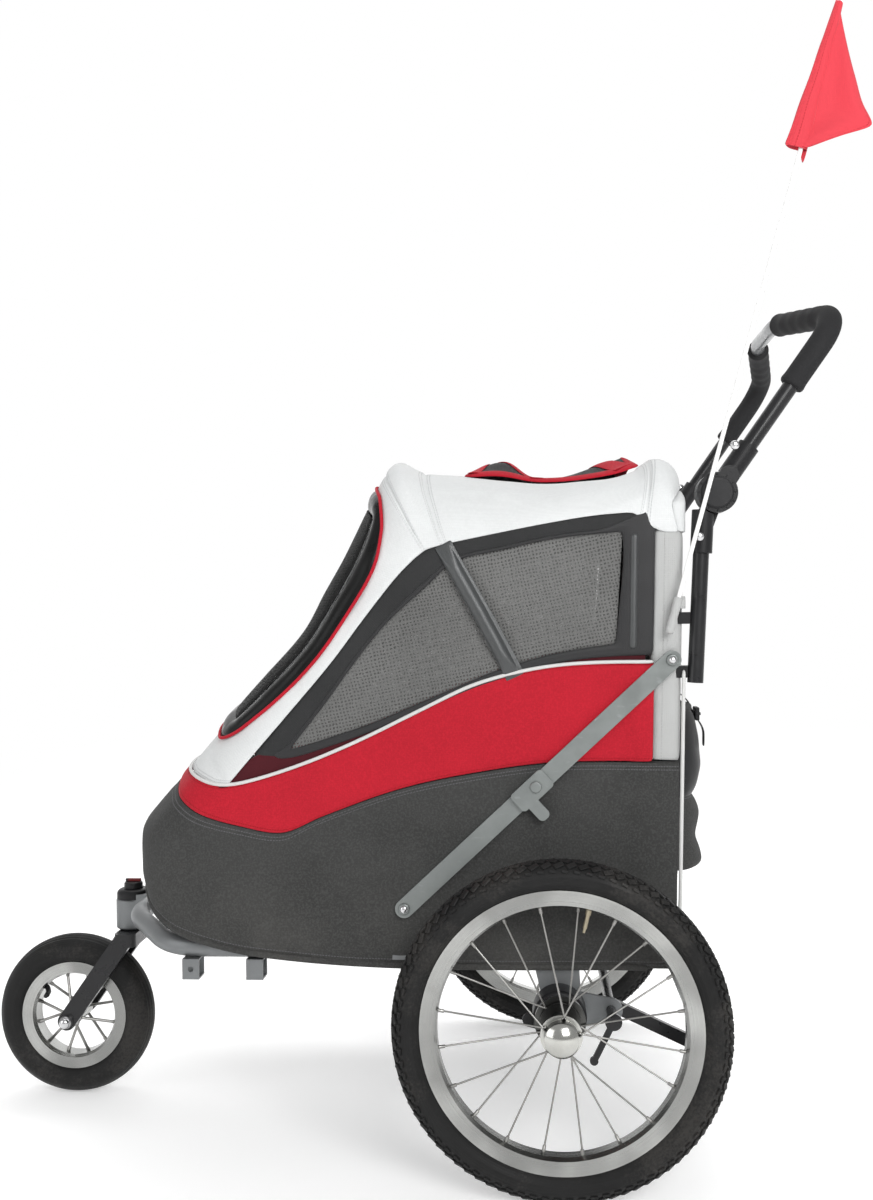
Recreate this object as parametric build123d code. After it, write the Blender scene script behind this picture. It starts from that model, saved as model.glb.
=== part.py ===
"""Pet stroller: a folding three-wheeled carrier with a fabric cabin, swivelling nose wheel and safety flag.

Row frame, millimetres: +Z up, +X towards the handle (rear), -X towards the nose wheel (front),
+Y towards the right-hand side of somebody walking behind it.
The origin is on the ground, in the middle of the footprint, and XZ is the plane of symmetry.
Each function below makes one sub-part and is listed in NODES, which is what gets written.
"""
from build123d import *
from math import atan2, cos, degrees, hypot, radians, sin
import os

# ---------------------------------------------------------------- clearances
RUN = 0.06            # radial gap of a shaft that turns in a bore
GAP = 0.4             # gap between soft pieces, or between pieces of two bodies
SEAT = 0.2            # gap where a piece is clamped round a tube

# ---------------------------------------------------------------- rear wheels
rear_axle_x = 205.0
rear_wheel_radius = 195.0
rear_tyre_radius = 21.0      # section of the tyre
rear_tyre_wall = 4.0
rear_rim_radius = 162.0      # outside of the rim's flanges
rear_rim_inner = 145.0
rear_rim_width = 26.0
rear_spoke_count = 20
spoke_radius = 1.1
nipple_radius = 2.1
nipple_length = 14.0
wheel_half_track = 300.0     # centre of the tyre from the plane of symmetry
hub_radius = 14.0
hub_flange_radius = 24.0
hub_half_length = 26.0
hub_flange_thickness = 3.0
hub_cap_radius = 19.5
hub_cap_length = 20.0
wheel_axle_radius = 6.0

# ---------------------------------------------------------------- nose wheel, fork and head
wheelbase = 680.0
nose_wheel_radius = 111.6
nose_tyre_radius = 24.5
nose_tyre_wall = 5.0
nose_rim_radius = 75.0
nose_rim_inner = 60.0
nose_rim_width = 34.0
nose_spoke_count = 12
nose_spoke_radius = 1.9
nose_hub_radius = 13.0
nose_hub_half_length = 24.0
nose_axle_radius = 4.5
fork_gap_half = 33.0         # inside face of each blade
fork_blade_thickness = 12.0
fork_blade_width = 25.0
fork_crown_height = 18.0
steer_x = -392.0
steerer_radius = 9.0
head_radius = 24.0
head_bottom = 233.0
head_height = 42.0
head_cap_height = 13.0
knob_radius = 13.0
knob_height = 9.0
axle_nut_radius = 9.0
axle_nut_height = 9.0

# ---------------------------------------------------------------- base frame
rail_radius = 12.5
rail_wall = 2.0
rail_y = 212.0
rail_z = 264.0
rail_rear_x = 342.0
rail_bend_x = -275.0         # where the side rails start to close in towards the head
nose_rail_x = -352.0         # the frame's front tube
nose_rail_y = 105.0
nose_rail_rise = 12.0
rail_bend_radius = 75.0
cross_tube_radius = 10.0
front_cross_x = -110.0
rear_cross_x = 300.0
beam_width = 40.0
beam_height = 24.0
plate_thickness = 5.0
plate_top_width = 56.0
plate_boss_radius = 30.0
housing_radius = 32.0
housing_length = 34.0
floor_thickness = 7.0
floor_front_x = -205.0
floor_rear_x = 300.0
floor_half_width = 198.0
board_margin = 15.0          # how far the board reaches over the rails
mat_thickness = 12.0
mat_border = 6.0

# ---------------------------------------------------------------- towing sockets, under the left rail
tow_width = 25.0
tow_wall = 2.0
tow_length = 21.0
tow_front_x = -247.0
tow_rear_x = -167.0
tow_pin_radius = 3.5

# ---------------------------------------------------------------- parking brake
brake_x = 267.0
brake_z = 195.0
brake_shaft_radius = 6.0
brake_ear_radius = 14.0
brake_arm_y = 208.0
brake_arm_thickness = 8.0
brake_swing = 28.0           # degrees from free to engaged
foot_bar_x = 385.0
foot_bar_z = 140.0
foot_bar_radius = 8.0
brake_disc_radius = 30.0
brake_disc_thickness = 5.0
pad_radius = 5.0             # round pad on the end of each brake finger
finger_width = 7.0
finger_thickness = 4.0

# ---------------------------------------------------------------- back frame, which folds forward
hinge_x = 335.0
hinge_z = 328.0
back_lean = 1.8              # degrees behind upright
back_tube_radius = 10.0
back_tube_wall = 1.8
back_y = 224.0
back_height = 506.0          # hinge to the corner line of the top bar
back_arch = 18.0             # how much the top bar rises in the middle
bow_corner_radius = 70.0
bracket_thickness = 2.4
pivot_radius = 4.0
sleeve_front = 24.0          # fabric sleeve, ahead of and behind the tube's middle
sleeve_rear = 13.0
sleeve_wall = 1.8
sleeve_start = 30.0          # above the hinge
sleeve_end = 442.0
sleeve_split = 166.0         # where the dark lower part ends
fascia = 15.0                # outside of the cabin's rear wall, behind the tube's middle

# ---------------------------------------------------------------- roof bow
bow_x = 317.0
bow_z = 287.0
bow_angle = 27.5             # degrees ahead of upright
bow_tube_radius = 8.0
bow_tube_wall = 1.6
bow_height = 608.0
bow_arch = 30.0

# ---------------------------------------------------------------- folding braces
brace_top = 287.0            # up the back frame from its hinge
brace_foot_x = 21.0
brace_foot_z = 319.0
brace_lower_length = 217.0
brace_width = 22.0
brace_thickness = 3.5
brace_y = 241.6              # inside face of the lower brace
rivet_head_radius = 7.0
rivet_head_height = 3.0
latch_length = 50.0
latch_width = 26.0
latch_thickness = 2.5
latch_tab = 36.0

# ---------------------------------------------------------------- handle
handle_tube_radius = 9.5
handle_tube_wall = 1.5
handle_y = 237.0
tube_foot = (372.0, 587.0)   # ends of the fixed handle tube
tube_top = (383.0, 768.0)
socket_depth = 27.0          # how far the tube reaches into the hinge
handle_hinge = (400.0, 812.0)
hinge_radius = 24.0
hinge_half = 13.0
button_radius = 10.5
button_travel = 4.0
button_height = 6.0
arm_angle = 54.5             # degrees above level, pointing rearwards
arm_length = 256.0
arm_start = 46.0
handle_corner_radius = 42.0
handle_bow = 50.0            # the cross bar's rise in the middle, square to the arms
grip_radius = 16.0
grip_arm_length = 62.0
bare_bar_half = 58.0         # to the bends on either side of the bare stretch
clamp_heights = (600.0, 664.0)
clamp_height = 14.0

# ---------------------------------------------------------------- cabin fabric
cloth = 2.0
cabin_half_width = 240.0
nose_x = -340.0              # front of the cabin on the plane of symmetry
shoulder_x = -324.0          # the same, near the corners
shoulder_y = 160.0
corner_x = -238.0
knee_z = 408.0               # where the front face starts to lean back
sill_z = 529.0
lower_lean = (105.0, 121.0)  # run and rise of the front face below the sill
upper_lean = (116.0, 133.0)  # the same from the sill to the brow
brow_z = 662.0
brow_lean = (99.0, 194.0)    # steeper from the brow up to the roof
roof_corner_radius = 82.0
roof_corner = 12.0           # drop from the roof to the rear wall
roof_edge_z = 852.0
roof_crown_z = 872.0
window_half_width = 182.0
window_top_z = 826.0
window_corner = 45.0
hem = [(-320, 330), (-294, 304), (-257, 284), (-170, 261), (14, 247), (345, 247)]
red_edge = [(-340, 446), (-268, 455), (-253, 438), (-179, 416), (-126, 409), (-80, 428),
            (18, 462), (115, 482), (210, 493), (352, 493)]
piping = [(-340, 490), (-255, 480), (-209, 468), (-178, 470), (-104, 492), (-30, 522),
          (43, 557), (116, 590), (212, 610), (352, 613)]
window_outline = [(-172, 474), (-104, 552), (-48, 619), (8, 691), (52, 750), (70, 762),
                  (167, 779), (263, 788)]
window_top_rear_z = 790.0
mesh_inset = 20.0
front_border = 26.0
grommet_gap = 1.0
roof_line = [(-40, 876), (6, 877), (60, 868), (145, 873), (223, 850), (278, 868), (330, 872)]
hatch_half_width = 120.0
hatch_front_x = 95.0
hatch_rear_x = 310.0

# ---------------------------------------------------------------- rear door, bag and flag
door_half_width = 208.0
door_bar_height = 19.0       # above the frame's hinge
door_bar_radius = 5.0
door_height = 458.0
door_thickness = 5.0
bag_half_width = 165.0
bag_bottom = 4.0             # above the door's lower edge
bag_height = 206.0
bag_depth = 38.0
bag_wall = 2.5
pole_radius = 2.6
pole_foot = (341.0, -255.3, 650.0)
pole_lean = 15.9             # degrees behind upright
pole_spread = 0.6            # degrees outwards
pole_length = 765.0
pocket_radius = 5.6
pocket_length = 42.0
tab_z = (674.0, 690.0)       # tab that holds the pocket clear of the folding brace
tab_thickness = 2.2
flag_height = 196.0
flag_outline = [(-18, 18), (12, 2), (75, 62), (-2, 197)]   # behind the pole, up from the hem's foot
flag_thickness = 1.2
flag_sleeve_radius = 5.0


# ================================================================ helpers
def rod(p, q, radius):
    """A round bar from point p to point q."""
    start, end = Vector(*p), Vector(*q)
    along = end - start
    return Plane(origin=start, z_dir=along) * extrude(Circle(radius), amount=along.length)


def turned(x, z, y_low, y_high, radius):
    """A cylinder along Y, between two Y values."""
    return rod((x, y_low, z), (x, y_high, z), radius)


def bent_tube(points, radii, radius, wall):
    """A hollow tube along a polyline whose corners are rounded."""
    path = FilletPolyline(*points, radius=radii)
    ring = Circle(radius) - Circle(radius - wall)
    return sweep(Plane(origin=path @ 0, z_dir=path % 0) * ring, path=path)


def bent_rod(points, radii, radius):
    """The same, solid."""
    path = FilletPolyline(*points, radius=radii)
    return sweep(Plane(origin=path @ 0, z_dir=path % 0) * Circle(radius), path=path)


def side_plate(outline, y_low, y_high):
    """A flat plate in the XZ plane: outline is a sketch whose x is X and whose y is Z."""
    at = Plane(origin=(0, y_low, 0), x_dir=(1, 0, 0), z_dir=(0, -1, 0))
    return extrude(at * outline, amount=-(y_high - y_low))


def bar_outline(p, q, width):
    """A bar with round ends, whose end circles are centred on p and q."""
    length = hypot(q[0] - p[0], q[1] - p[1])
    angle = degrees(atan2(q[1] - p[1], q[0] - p[0]))
    middle = ((p[0] + q[0]) / 2, (p[1] + q[1]) / 2)
    return Pos(*middle) * Rot(0, 0, angle) * SlotCenterToCenter(length, width)


def both(piece):
    """The piece and its mirror image on the other side."""
    return [piece, mirror(piece, about=Plane.XZ)]


def solids_of(*things):
    """Every solid in the things given, which may be shapes or lists."""
    found = []
    for thing in things:
        found += thing.solids() if hasattr(thing, "solids") else solids_of(*thing)
    return found


# ================================================================ places worked out from the sizes
nose_axle_x = rear_axle_x - wheelbase
rail_top = rail_z + rail_radius
floor_top = rail_top + SEAT + floor_thickness
plate_inner_y = rail_y + rail_radius + SEAT
plate_outer_y = plate_inner_y + plate_thickness
housing_outer_y = plate_outer_y + housing_length
back_tilt = radians(back_lean)
door_bottom = door_bar_height + door_bar_radius + 0.3


def up_back(height, behind=0.0):
    """(x, z) of a point on the back frame: height up it from the hinge, and behind its middle."""
    return (hinge_x + height * sin(back_tilt) + behind * cos(back_tilt),
            hinge_z + height * cos(back_tilt) - behind * sin(back_tilt))


def up_arm(length, above=0.0):
    """(x, z) of a point on the handle's arm: length along it from its hinge, and above it."""
    a = radians(arm_angle)
    return (handle_hinge[0] + length * cos(a) - above * sin(a),
            handle_hinge[1] + length * sin(a) + above * cos(a))


brace_head = up_back(brace_top)
brace_foot = (brace_foot_x, brace_foot_z)
brace_span = hypot(brace_head[0] - brace_foot[0], brace_head[1] - brace_foot[1])
brace_direction = ((brace_head[0] - brace_foot[0]) / brace_span,
                   (brace_head[1] - brace_foot[1]) / brace_span)
brace_middle = (brace_foot[0] + brace_direction[0] * brace_lower_length,
                brace_foot[1] + brace_direction[1] * brace_lower_length)
upper_brace_y = brace_y + brace_thickness + GAP
latch_y = upper_brace_y + brace_thickness + GAP
tube_lean = atan2(tube_top[0] - tube_foot[0], tube_top[1] - tube_foot[1])
cabin_rear_x = up_back(roof_crown_z - hinge_z, fascia)[0]
disc_y = wheel_half_track - hub_half_length - brake_disc_thickness
pole_line = Vector(sin(radians(pole_lean)), -sin(radians(pole_spread)),
                   cos(radians(pole_lean))).normalized()


# ================================================================ wheels, made at the origin, axis along Y, outer side at -Y
def revolved(outline):
    """Turns a sketch drawn with x as radius and y as distance outwards about the wheel's axle."""
    at = Plane(origin=(0, 0, 0), x_dir=(1, 0, 0), z_dir=(0, 0, 1))
    return revolve(at * outline, axis=Axis.Y, revolution_arc=360)


def tyre(radius, section, wall, rim_radius, rim_width):
    """A casing open to the rim, with beads that stand inside the rim's flanges."""
    middle = radius - section
    ring = Pos(middle, 0) * (Circle(section) - Circle(section - wall))
    open_side = Pos(rim_radius + SEAT - section, 0) * Rectangle(2 * section, 3 * section)
    casing = ring - open_side
    bead_y = rim_width / 2 - 2.6 - wall / 2
    bead = Pos(rim_radius - 3, bead_y) * Rectangle(10, wall)
    above = rim_radius + SEAT
    flank = Polyline((above, bead_y - wall / 2), (above, bead_y + wall / 2),
                     (above + 3, section - 1), (above + 4, section - wall - 2), close=True)
    side = bead + make_face(flank)
    return revolved(casing + side + mirror(side, about=Plane.XZ))


def rim(radius, inner, width):
    """A channel rim with two side walls and a closed bed."""
    half, lip = width / 2, 1.8
    bed = radius - 12
    outline = Polyline((radius, -half), (radius, -half + lip), (bed, -half + lip),
                       (bed - 2, -half + lip + 3), (bed - 2, half - lip - 3), (bed, half - lip),
                       (radius, half - lip), (radius, half), (inner, half),
                       (inner - 3, half - 6), (inner - 3, -half + 6), (inner, -half), close=True)
    return revolved(make_face(outline))


def spokes(count, hub_hole, rim_hole, flange_y, radius, nut_radius, nut_length):
    """Radial spokes, taken from the two hub flanges in turn, each with its nipple."""
    made = []
    for k in range(count):
        side = -1 if k % 2 == 0 else 1
        foot, tip = (hub_hole, side * flange_y, 0), (rim_hole, 0, 0)
        length = hypot(rim_hole - hub_hole, flange_y)
        share = 1 - nut_length / length
        nut = (hub_hole + (rim_hole - hub_hole) * share, side * flange_y * (1 - share), 0)
        spoke = rod(foot, tip, radius) + rod(nut, tip, nut_radius)
        made.append(Rot(0, 360 / count * (k + 0.5), 0) * spoke)
    return made


def rear_tyre():
    return tyre(rear_wheel_radius, rear_tyre_radius, rear_tyre_wall, rear_rim_radius, rear_rim_width)


def rear_rim():
    return rim(rear_rim_radius, rear_rim_inner, rear_rim_width)


def rear_spokes():
    hole = hub_flange_radius - 3.5
    return spokes(rear_spoke_count, hole, rear_rim_inner - 2, hub_half_length - 5,
                  spoke_radius, nipple_radius, nipple_length)


def rear_hub():
    """Hub shell with two spoke flanges, and the domed cap over its outer end."""
    shell = turned(0, 0, -hub_half_length, hub_half_length, hub_radius)
    flange_y = hub_half_length - 5
    for y in (-flange_y, flange_y):
        shell += turned(0, 0, y - hub_flange_thickness / 2, y + hub_flange_thickness / 2,
                        hub_flange_radius)
    shell -= turned(0, 0, -hub_half_length, hub_half_length, wheel_axle_radius + RUN)
    return shell


def hub_cap():
    """Chrome dome over the end of the axle, hollow, with a small release hole."""
    dome_rise = 8.0
    wall = 1.5
    start = hub_half_length
    seat = start - 5 + hub_flange_thickness / 2 + SEAT
    skirt = start + hub_cap_length - dome_rise
    outer = turned(0, 0, -skirt, -seat, hub_cap_radius)
    ball = (hub_cap_radius ** 2 + dome_rise ** 2) / (2 * dome_rise)
    dome = Pos(0, -(start + hub_cap_length) + ball, 0) * Sphere(ball)
    dome &= turned(0, 0, -(start + hub_cap_length), -skirt, hub_cap_radius)
    inner = turned(0, 0, -skirt + wall, -start, hub_cap_radius - wall)
    return outer + dome - inner - turned(0, 0, -start, 0, hub_radius + SEAT)


def brake_disc():
    """Drum on the inner end of the hub, which the brake's pad presses on."""
    ring = turned(0, 0, hub_half_length, hub_half_length + brake_disc_thickness, brake_disc_radius)
    return ring - turned(0, 0, hub_half_length, hub_half_length + brake_disc_thickness,
                         wheel_axle_radius + 2)


def at_left_wheel(piece):
    return Pos(rear_axle_x, -wheel_half_track, rear_wheel_radius) * piece


def left_and_right(make):
    """Two nodes' worth: the same wheel piece on the left axle and, mirrored, on the right one."""
    made = make()
    left = [at_left_wheel(s) for s in solids_of(made)]
    return left, [mirror(s, about=Plane.XZ) for s in left]


def nose_tyre():
    return at_nose(tyre(nose_wheel_radius, nose_tyre_radius, nose_tyre_wall,
                        nose_rim_radius, nose_rim_width))


def nose_rim():
    return at_nose(rim(nose_rim_radius, nose_rim_inner, nose_rim_width))


def nose_spokes():
    """Welded steel spokes with the hub barrel between them."""
    made = spokes(nose_spoke_count, nose_hub_radius - 1, nose_rim_inner - 1.5,
                  nose_hub_half_length - 6, nose_spoke_radius, nose_spoke_radius + 0.6, 6)
    return [at_nose(s) for s in made]


def nose_hub():
    hub = turned(0, 0, -nose_hub_half_length, nose_hub_half_length, nose_hub_radius)
    return at_nose(hub - turned(0, 0, -nose_hub_half_length, nose_hub_half_length,
                                nose_axle_radius + RUN))


def at_nose(piece):
    return Pos(nose_axle_x, 0, nose_wheel_radius) * piece


# ================================================================ fork, head and steering
def fork():
    """Crown, steerer and two blades that reach forward to the nose axle."""
    crown_top = head_bottom - GAP
    crown_bottom = crown_top - fork_crown_height
    outer = fork_gap_half + fork_blade_thickness
    crown = Pos(steer_x, 0, (crown_top + crown_bottom) / 2) * Box(
        30, 2 * outer, fork_crown_height)
    crown = fillet(crown.edges().filter_by(Axis.Z), 8)
    neck = rod((steer_x, 0, crown_top - 4), (steer_x, 0, crown_top), 15)
    stem = rod((steer_x, 0, crown_top - 2), (steer_x, 0, head_bottom + head_height - 6),
               steerer_radius)
    shoulder = (steer_x - 2, crown_bottom + fork_blade_width / 2 - 3)
    tip = (nose_axle_x, nose_wheel_radius)
    blade = side_plate(bar_outline(shoulder, tip, fork_blade_width),
                       -outer, -fork_gap_half)
    blade -= Pos(steer_x, 0, crown_top + 20) * Box(120, 4 * outer, 40)
    blade -= turned(*tip, -outer, -fork_gap_half, nose_axle_radius + SEAT)
    return crown + neck + stem + blade + mirror(blade, about=Plane.XZ)


def nose_axle():
    """Axle with a domed nut against each blade."""
    outer = fork_gap_half + fork_blade_thickness
    tip = (nose_axle_x, nose_wheel_radius)
    axle = turned(*tip, -outer - 2, outer + 2, nose_axle_radius)
    for side in (-1, 1):
        low, high = sorted((side * outer, side * (outer + axle_nut_height)))
        nut = turned(*tip, low, high, axle_nut_radius)
        end = nut.faces().sort_by(Axis.Y)[0 if side < 0 else -1]
        axle += fillet(end.edges(), axle_nut_height * 0.6)
    return axle


def head_housing():
    """Cast socket for the steerer, with an arm that saddles the frame's front tube."""
    top = head_bottom + head_height
    barrel = rod((steer_x, 0, head_bottom), (steer_x, 0, top), head_radius)
    barrel = fillet(barrel.edges().filter_by(GeomType.CIRCLE), 3)
    reach = nose_rail_x + rail_radius - 3
    arm = Pos((steer_x + reach) / 2, 0, rail_z + nose_rail_rise - 6) * Box(
        reach - steer_x, 44, 26)
    cast = barrel + arm
    cast -= rod((steer_x, 0, head_bottom), (steer_x, 0, top - 4), steerer_radius + RUN)
    cast -= turned(nose_rail_x, rail_z + nose_rail_rise, -60, 60, rail_radius + SEAT)
    return cast - rod((steer_x, 0, top), (steer_x, 0, top + 60), head_radius + GAP)


def head_cap():
    """Black cap on the head, with a well for the lock knob."""
    low = head_bottom + head_height
    cap = rod((steer_x, 0, low), (steer_x, 0, low + head_cap_height), head_radius - 1)
    cap = fillet(cap.edges().group_by(Axis.Z)[-1], 7)
    return cap - rod((steer_x, 0, low), (steer_x, 0, low + head_cap_height), 4 + RUN)


def swivel_knob():
    """Red knob that locks the swivel: a thumb bar on a short stem."""
    low = head_bottom + head_height + head_cap_height + GAP
    top = low + knob_height
    knob = rod((steer_x, 0, low), (steer_x, 0, top), knob_radius)
    knob = fillet(knob.edges().group_by(Axis.Z)[-1], 3)
    grip = Pos(steer_x, 0, top + 1.5) * Box(2 * knob_radius - 4, 6, 5)
    stem = rod((steer_x, 0, low - head_cap_height + 2), (steer_x, 0, low + 1), 4)
    return knob + fillet(grip.edges().filter_by(Axis.Z), 2) + stem


# ================================================================ base frame
def base_frame():
    """One tube bent into a U: side rails that close in to a front tube, which rises a little."""
    front_z = rail_z + nose_rail_rise
    half = [(rail_rear_x, -rail_y, rail_z), (rail_bend_x, -rail_y, rail_z),
            (nose_rail_x, -nose_rail_y, front_z)]
    points = half + [(x, -y, z) for x, y, z in reversed(half)]
    return bent_tube(points, rail_bend_radius, rail_radius, rail_wall)


def cross_tubes():
    """Two tubes between the rails, notched to their round sides."""
    made = []
    for x in (front_cross_x, rear_cross_x):
        tube = turned(x, rail_z, -rail_y, rail_y, cross_tube_radius)
        tube -= turned(x, rail_z, -rail_y, rail_y, cross_tube_radius - rail_wall)
        for y in (-rail_y, rail_y):
            tube -= rod((x - 40, y, rail_z), (x + 40, y, rail_z), rail_radius + SEAT)
        made.append(tube)
    return made


def axle_beam():
    """Square tube under the rails, which carries the wheels."""
    top = rail_z - rail_radius - SEAT
    at = Pos(rear_axle_x, 0, top - beam_height / 2)
    beam = at * Box(beam_width, 2 * plate_inner_y, beam_height)
    return beam - at * Box(beam_width - 4, 2 * plate_inner_y, beam_height - 4)


def axle_plates():
    """Plate on each end of the beam: down to the wheel's axle and back to the brake's shaft."""
    top_z = rail_z - 2
    axle = (rear_axle_x, rear_wheel_radius)
    tangent = plate_boss_radius * 0.9
    web = make_face(Polyline((axle[0] - plate_top_width / 2 - 4, top_z),
                             (axle[0] + plate_top_width / 2 - 4, top_z),
                             (axle[0] + tangent, axle[1] + 12),
                             (axle[0] + tangent, axle[1]),
                             (axle[0] - tangent, axle[1]),
                             (axle[0] - tangent + 6, axle[1] + 18), close=True))
    boss = Pos(*axle) * Circle(plate_boss_radius)
    ear = make_face(Polyline((axle[0], axle[1] + plate_boss_radius * 0.86),
                             (brake_x, brake_z + brake_ear_radius),
                             (brake_x, brake_z - brake_ear_radius),
                             (axle[0], axle[1] - plate_boss_radius * 0.86), close=True))
    outline = web + boss + ear + Pos(brake_x, brake_z) * Circle(brake_ear_radius)
    outline -= Pos(*axle) * Circle(wheel_axle_radius)
    outline -= Pos(brake_x, brake_z) * Circle(brake_shaft_radius + RUN)
    return both(side_plate(outline, -plate_outer_y, -plate_inner_y))


def axle_housings():
    """Black round housing outside each plate, with the tab that lets go of the wheel."""
    x, z = rear_axle_x, rear_wheel_radius
    body = turned(x, z, -housing_outer_y, -plate_outer_y, housing_radius)
    body = fillet(body.edges().group_by(Axis.Y)[0], 5)
    body -= turned(x, z, -housing_outer_y, -plate_outer_y, wheel_axle_radius)
    tab = side_plate(bar_outline((x - housing_radius + 4, z - 6), (x - housing_radius - 4, z - 4), 16),
                     -housing_outer_y + 8, -housing_outer_y + 12)
    return both(body + tab)


def wheel_axles():
    """Steel pin in each housing, on which the hub runs."""
    end = wheel_half_track + hub_half_length + 4
    return both(turned(rear_axle_x, rear_wheel_radius, -end, -plate_inner_y, wheel_axle_radius))


def floor_board():
    """Stiff floor that lies on the rails and cross tubes."""
    length = floor_rear_x - floor_front_x
    at = Pos((floor_rear_x + floor_front_x) / 2, 0, rail_top + SEAT + floor_thickness / 2)
    board = at * Box(length, 2 * (floor_half_width + board_margin), floor_thickness)
    return fillet(board.edges().filter_by(Axis.Z), 12)


def floor_mat():
    """Padded mat on the floor."""
    length = floor_rear_x - floor_front_x - 2 * mat_border
    at = Pos((floor_rear_x + floor_front_x) / 2, 0, floor_top + GAP + mat_thickness / 2)
    mat = at * Box(length, 2 * (floor_half_width - mat_border), mat_thickness)
    mat = fillet(mat.edges().filter_by(Axis.Z), 20)
    return fillet(mat.edges().group_by(Axis.Z)[-1], 4)


def tow_sockets():
    """Two square sockets in line under the left rail. A pin through the front one holds a tow arm."""
    made = []
    z = rail_z - rail_radius - SEAT - tow_width / 2
    for x in (tow_front_x, tow_rear_x):
        at = Pos(x, -rail_y, z)
        socket = at * Box(tow_length, tow_width, tow_width)
        inner = tow_width - 2 * tow_wall
        socket -= at * Box(tow_length, inner, inner)
        made.append(socket)
    made[0] -= turned(tow_front_x, z, -rail_y - tow_width, -rail_y + tow_width, tow_pin_radius)
    return made


def frame_brackets():
    """Ears for the back frame and roof bow, and a plate for the foot of each brace."""
    low = rail_z - 4
    ears = []
    for y_low, y_high in ((-back_y - back_tube_radius - GAP - bracket_thickness,
                           -back_y - back_tube_radius - GAP),
                          (-back_y + back_tube_radius + GAP,
                           -back_y + back_tube_radius + GAP + bracket_thickness)):
        outline = make_face(Polyline((bow_x - 14, low), (hinge_x + 9, low),
                                     (hinge_x + 9, hinge_z + 4), (hinge_x + 5, hinge_z + 11),
                                     (hinge_x - 6, hinge_z + 11), (bow_x - 9, bow_z + 11),
                                     (bow_x - 14, bow_z + 2), close=True))
        outline -= Pos(hinge_x, hinge_z) * Circle(pivot_radius)
        outline -= Pos(bow_x, bow_z) * Circle(pivot_radius)
        ears.append(side_plate(outline, y_low, y_high))
    ears[1] -= turned_along_x(rail_radius + SEAT)
    outer = cabin_half_width - cloth - GAP
    foot = side_plate(make_face(Polyline((brace_foot_x - 16, low - 4), (brace_foot_x + 16, low - 4),
                                         (brace_foot_x + 9, brace_foot_z + 9),
                                         (brace_foot_x - 9, brace_foot_z + 9), close=True))
                      - Pos(*brace_foot) * Circle(pivot_radius), -outer, -outer + bracket_thickness)
    strap = Pos(brace_foot_x, -(outer + rail_y) / 2, low) * Box(24, outer - rail_y, 8)
    strap -= turned_along_x(rail_radius + SEAT)
    web = Pos((bow_x + hinge_x) / 2, -rail_y - 12, low + 3) * Box(30, 24, 6)
    web -= turned_along_x(rail_radius + SEAT)
    made = [ears[0] + web, ears[1], foot + strap]
    return [both(piece) for piece in made]


def turned_along_x(radius):
    """The left rail's own round, for notching what is welded to it."""
    return rod((-200, -rail_y, rail_z), (rail_rear_x + 60, -rail_y, rail_z), radius)


# ================================================================ parking brake
def brake_bar():
    """Shaft through both ears, two arms and the bar that a foot presses."""
    end = disc_y + brake_disc_thickness
    shaft = turned(brake_x, brake_z, -end, end, brake_shaft_radius)
    arm = side_plate(bar_outline((brake_x, brake_z), (foot_bar_x, foot_bar_z), 15),
                     -brake_arm_y, -brake_arm_y + brake_arm_thickness)
    bar = turned(foot_bar_x, foot_bar_z, -brake_arm_y - 6, brake_arm_y + 6, foot_bar_radius)
    return shaft + arm + mirror(arm, about=Plane.XZ) + bar


def brake_fingers():
    """A finger on each end of the shaft, whose pad swings up to the drum of the wheel's hub."""
    span = hypot(brake_x - rear_axle_x, brake_z - rear_wheel_radius)
    stand_off = brake_disc_radius + GAP + pad_radius
    reach = (span ** 2 - stand_off ** 2) ** 0.5
    towards = atan2(rear_wheel_radius - brake_z, rear_axle_x - brake_x)
    engaged = towards + atan2(stand_off, reach)
    free = engaged + radians(brake_swing)
    tip = (brake_x + reach * cos(free), brake_z + reach * sin(free))
    outline = bar_outline((brake_x, brake_z), tip, finger_width) + Pos(*tip) * Circle(pad_radius)
    outline += Pos(brake_x, brake_z) * Circle(10)
    outline -= Pos(brake_x, brake_z) * Circle(brake_shaft_radius)
    middle = disc_y + brake_disc_thickness / 2
    return both(side_plate(outline, -middle - finger_thickness / 2, -middle + finger_thickness / 2))


# ================================================================ back frame
def back_frame():
    """Tube bent into an arch that stands on the two rear hinges, with the bar that the door turns on."""
    foot, top = up_back(0), up_back(back_height)
    crown = up_back(back_height + back_arch)
    half = [(foot[0], -back_y, foot[1]), (top[0], -back_y, top[1])]
    points = half + [(crown[0], 0, crown[1])] + [(x, -y, z) for x, y, z in reversed(half)]
    arch = bent_tube(points, [bow_corner_radius, 400, bow_corner_radius], back_tube_radius,
                     back_tube_wall)
    for y in (-back_y, back_y):
        boss = turned(*foot, y - back_tube_radius, y + back_tube_radius, back_tube_radius)
        arch += boss
        arch -= turned(*foot, y - 20, y + 20, pivot_radius + RUN)
    arch += turned(*up_back(door_bar_height, 5), -back_y, back_y, door_bar_radius)
    for y in (-back_y, back_y):
        arch -= turned(*brace_head, y - 20, y + 20, pivot_radius)
    return arch


def sleeve_outline():
    """Section of the fabric sleeve round each upright: x behind the tube's middle, y outwards."""
    inner_y = back_y - back_tube_radius - 2 * sleeve_wall
    depth = cabin_half_width - inner_y
    width = sleeve_front + sleeve_rear
    outer = Pos((sleeve_rear - sleeve_front) / 2, 0) * RectangleRounded(width, depth, 6)
    inner = Pos((sleeve_rear - sleeve_front) / 2, 0) * RectangleRounded(
        width - 2 * sleeve_wall, depth - 2 * sleeve_wall, 4)
    return outer - inner, (cabin_half_width + inner_y) / 2


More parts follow.
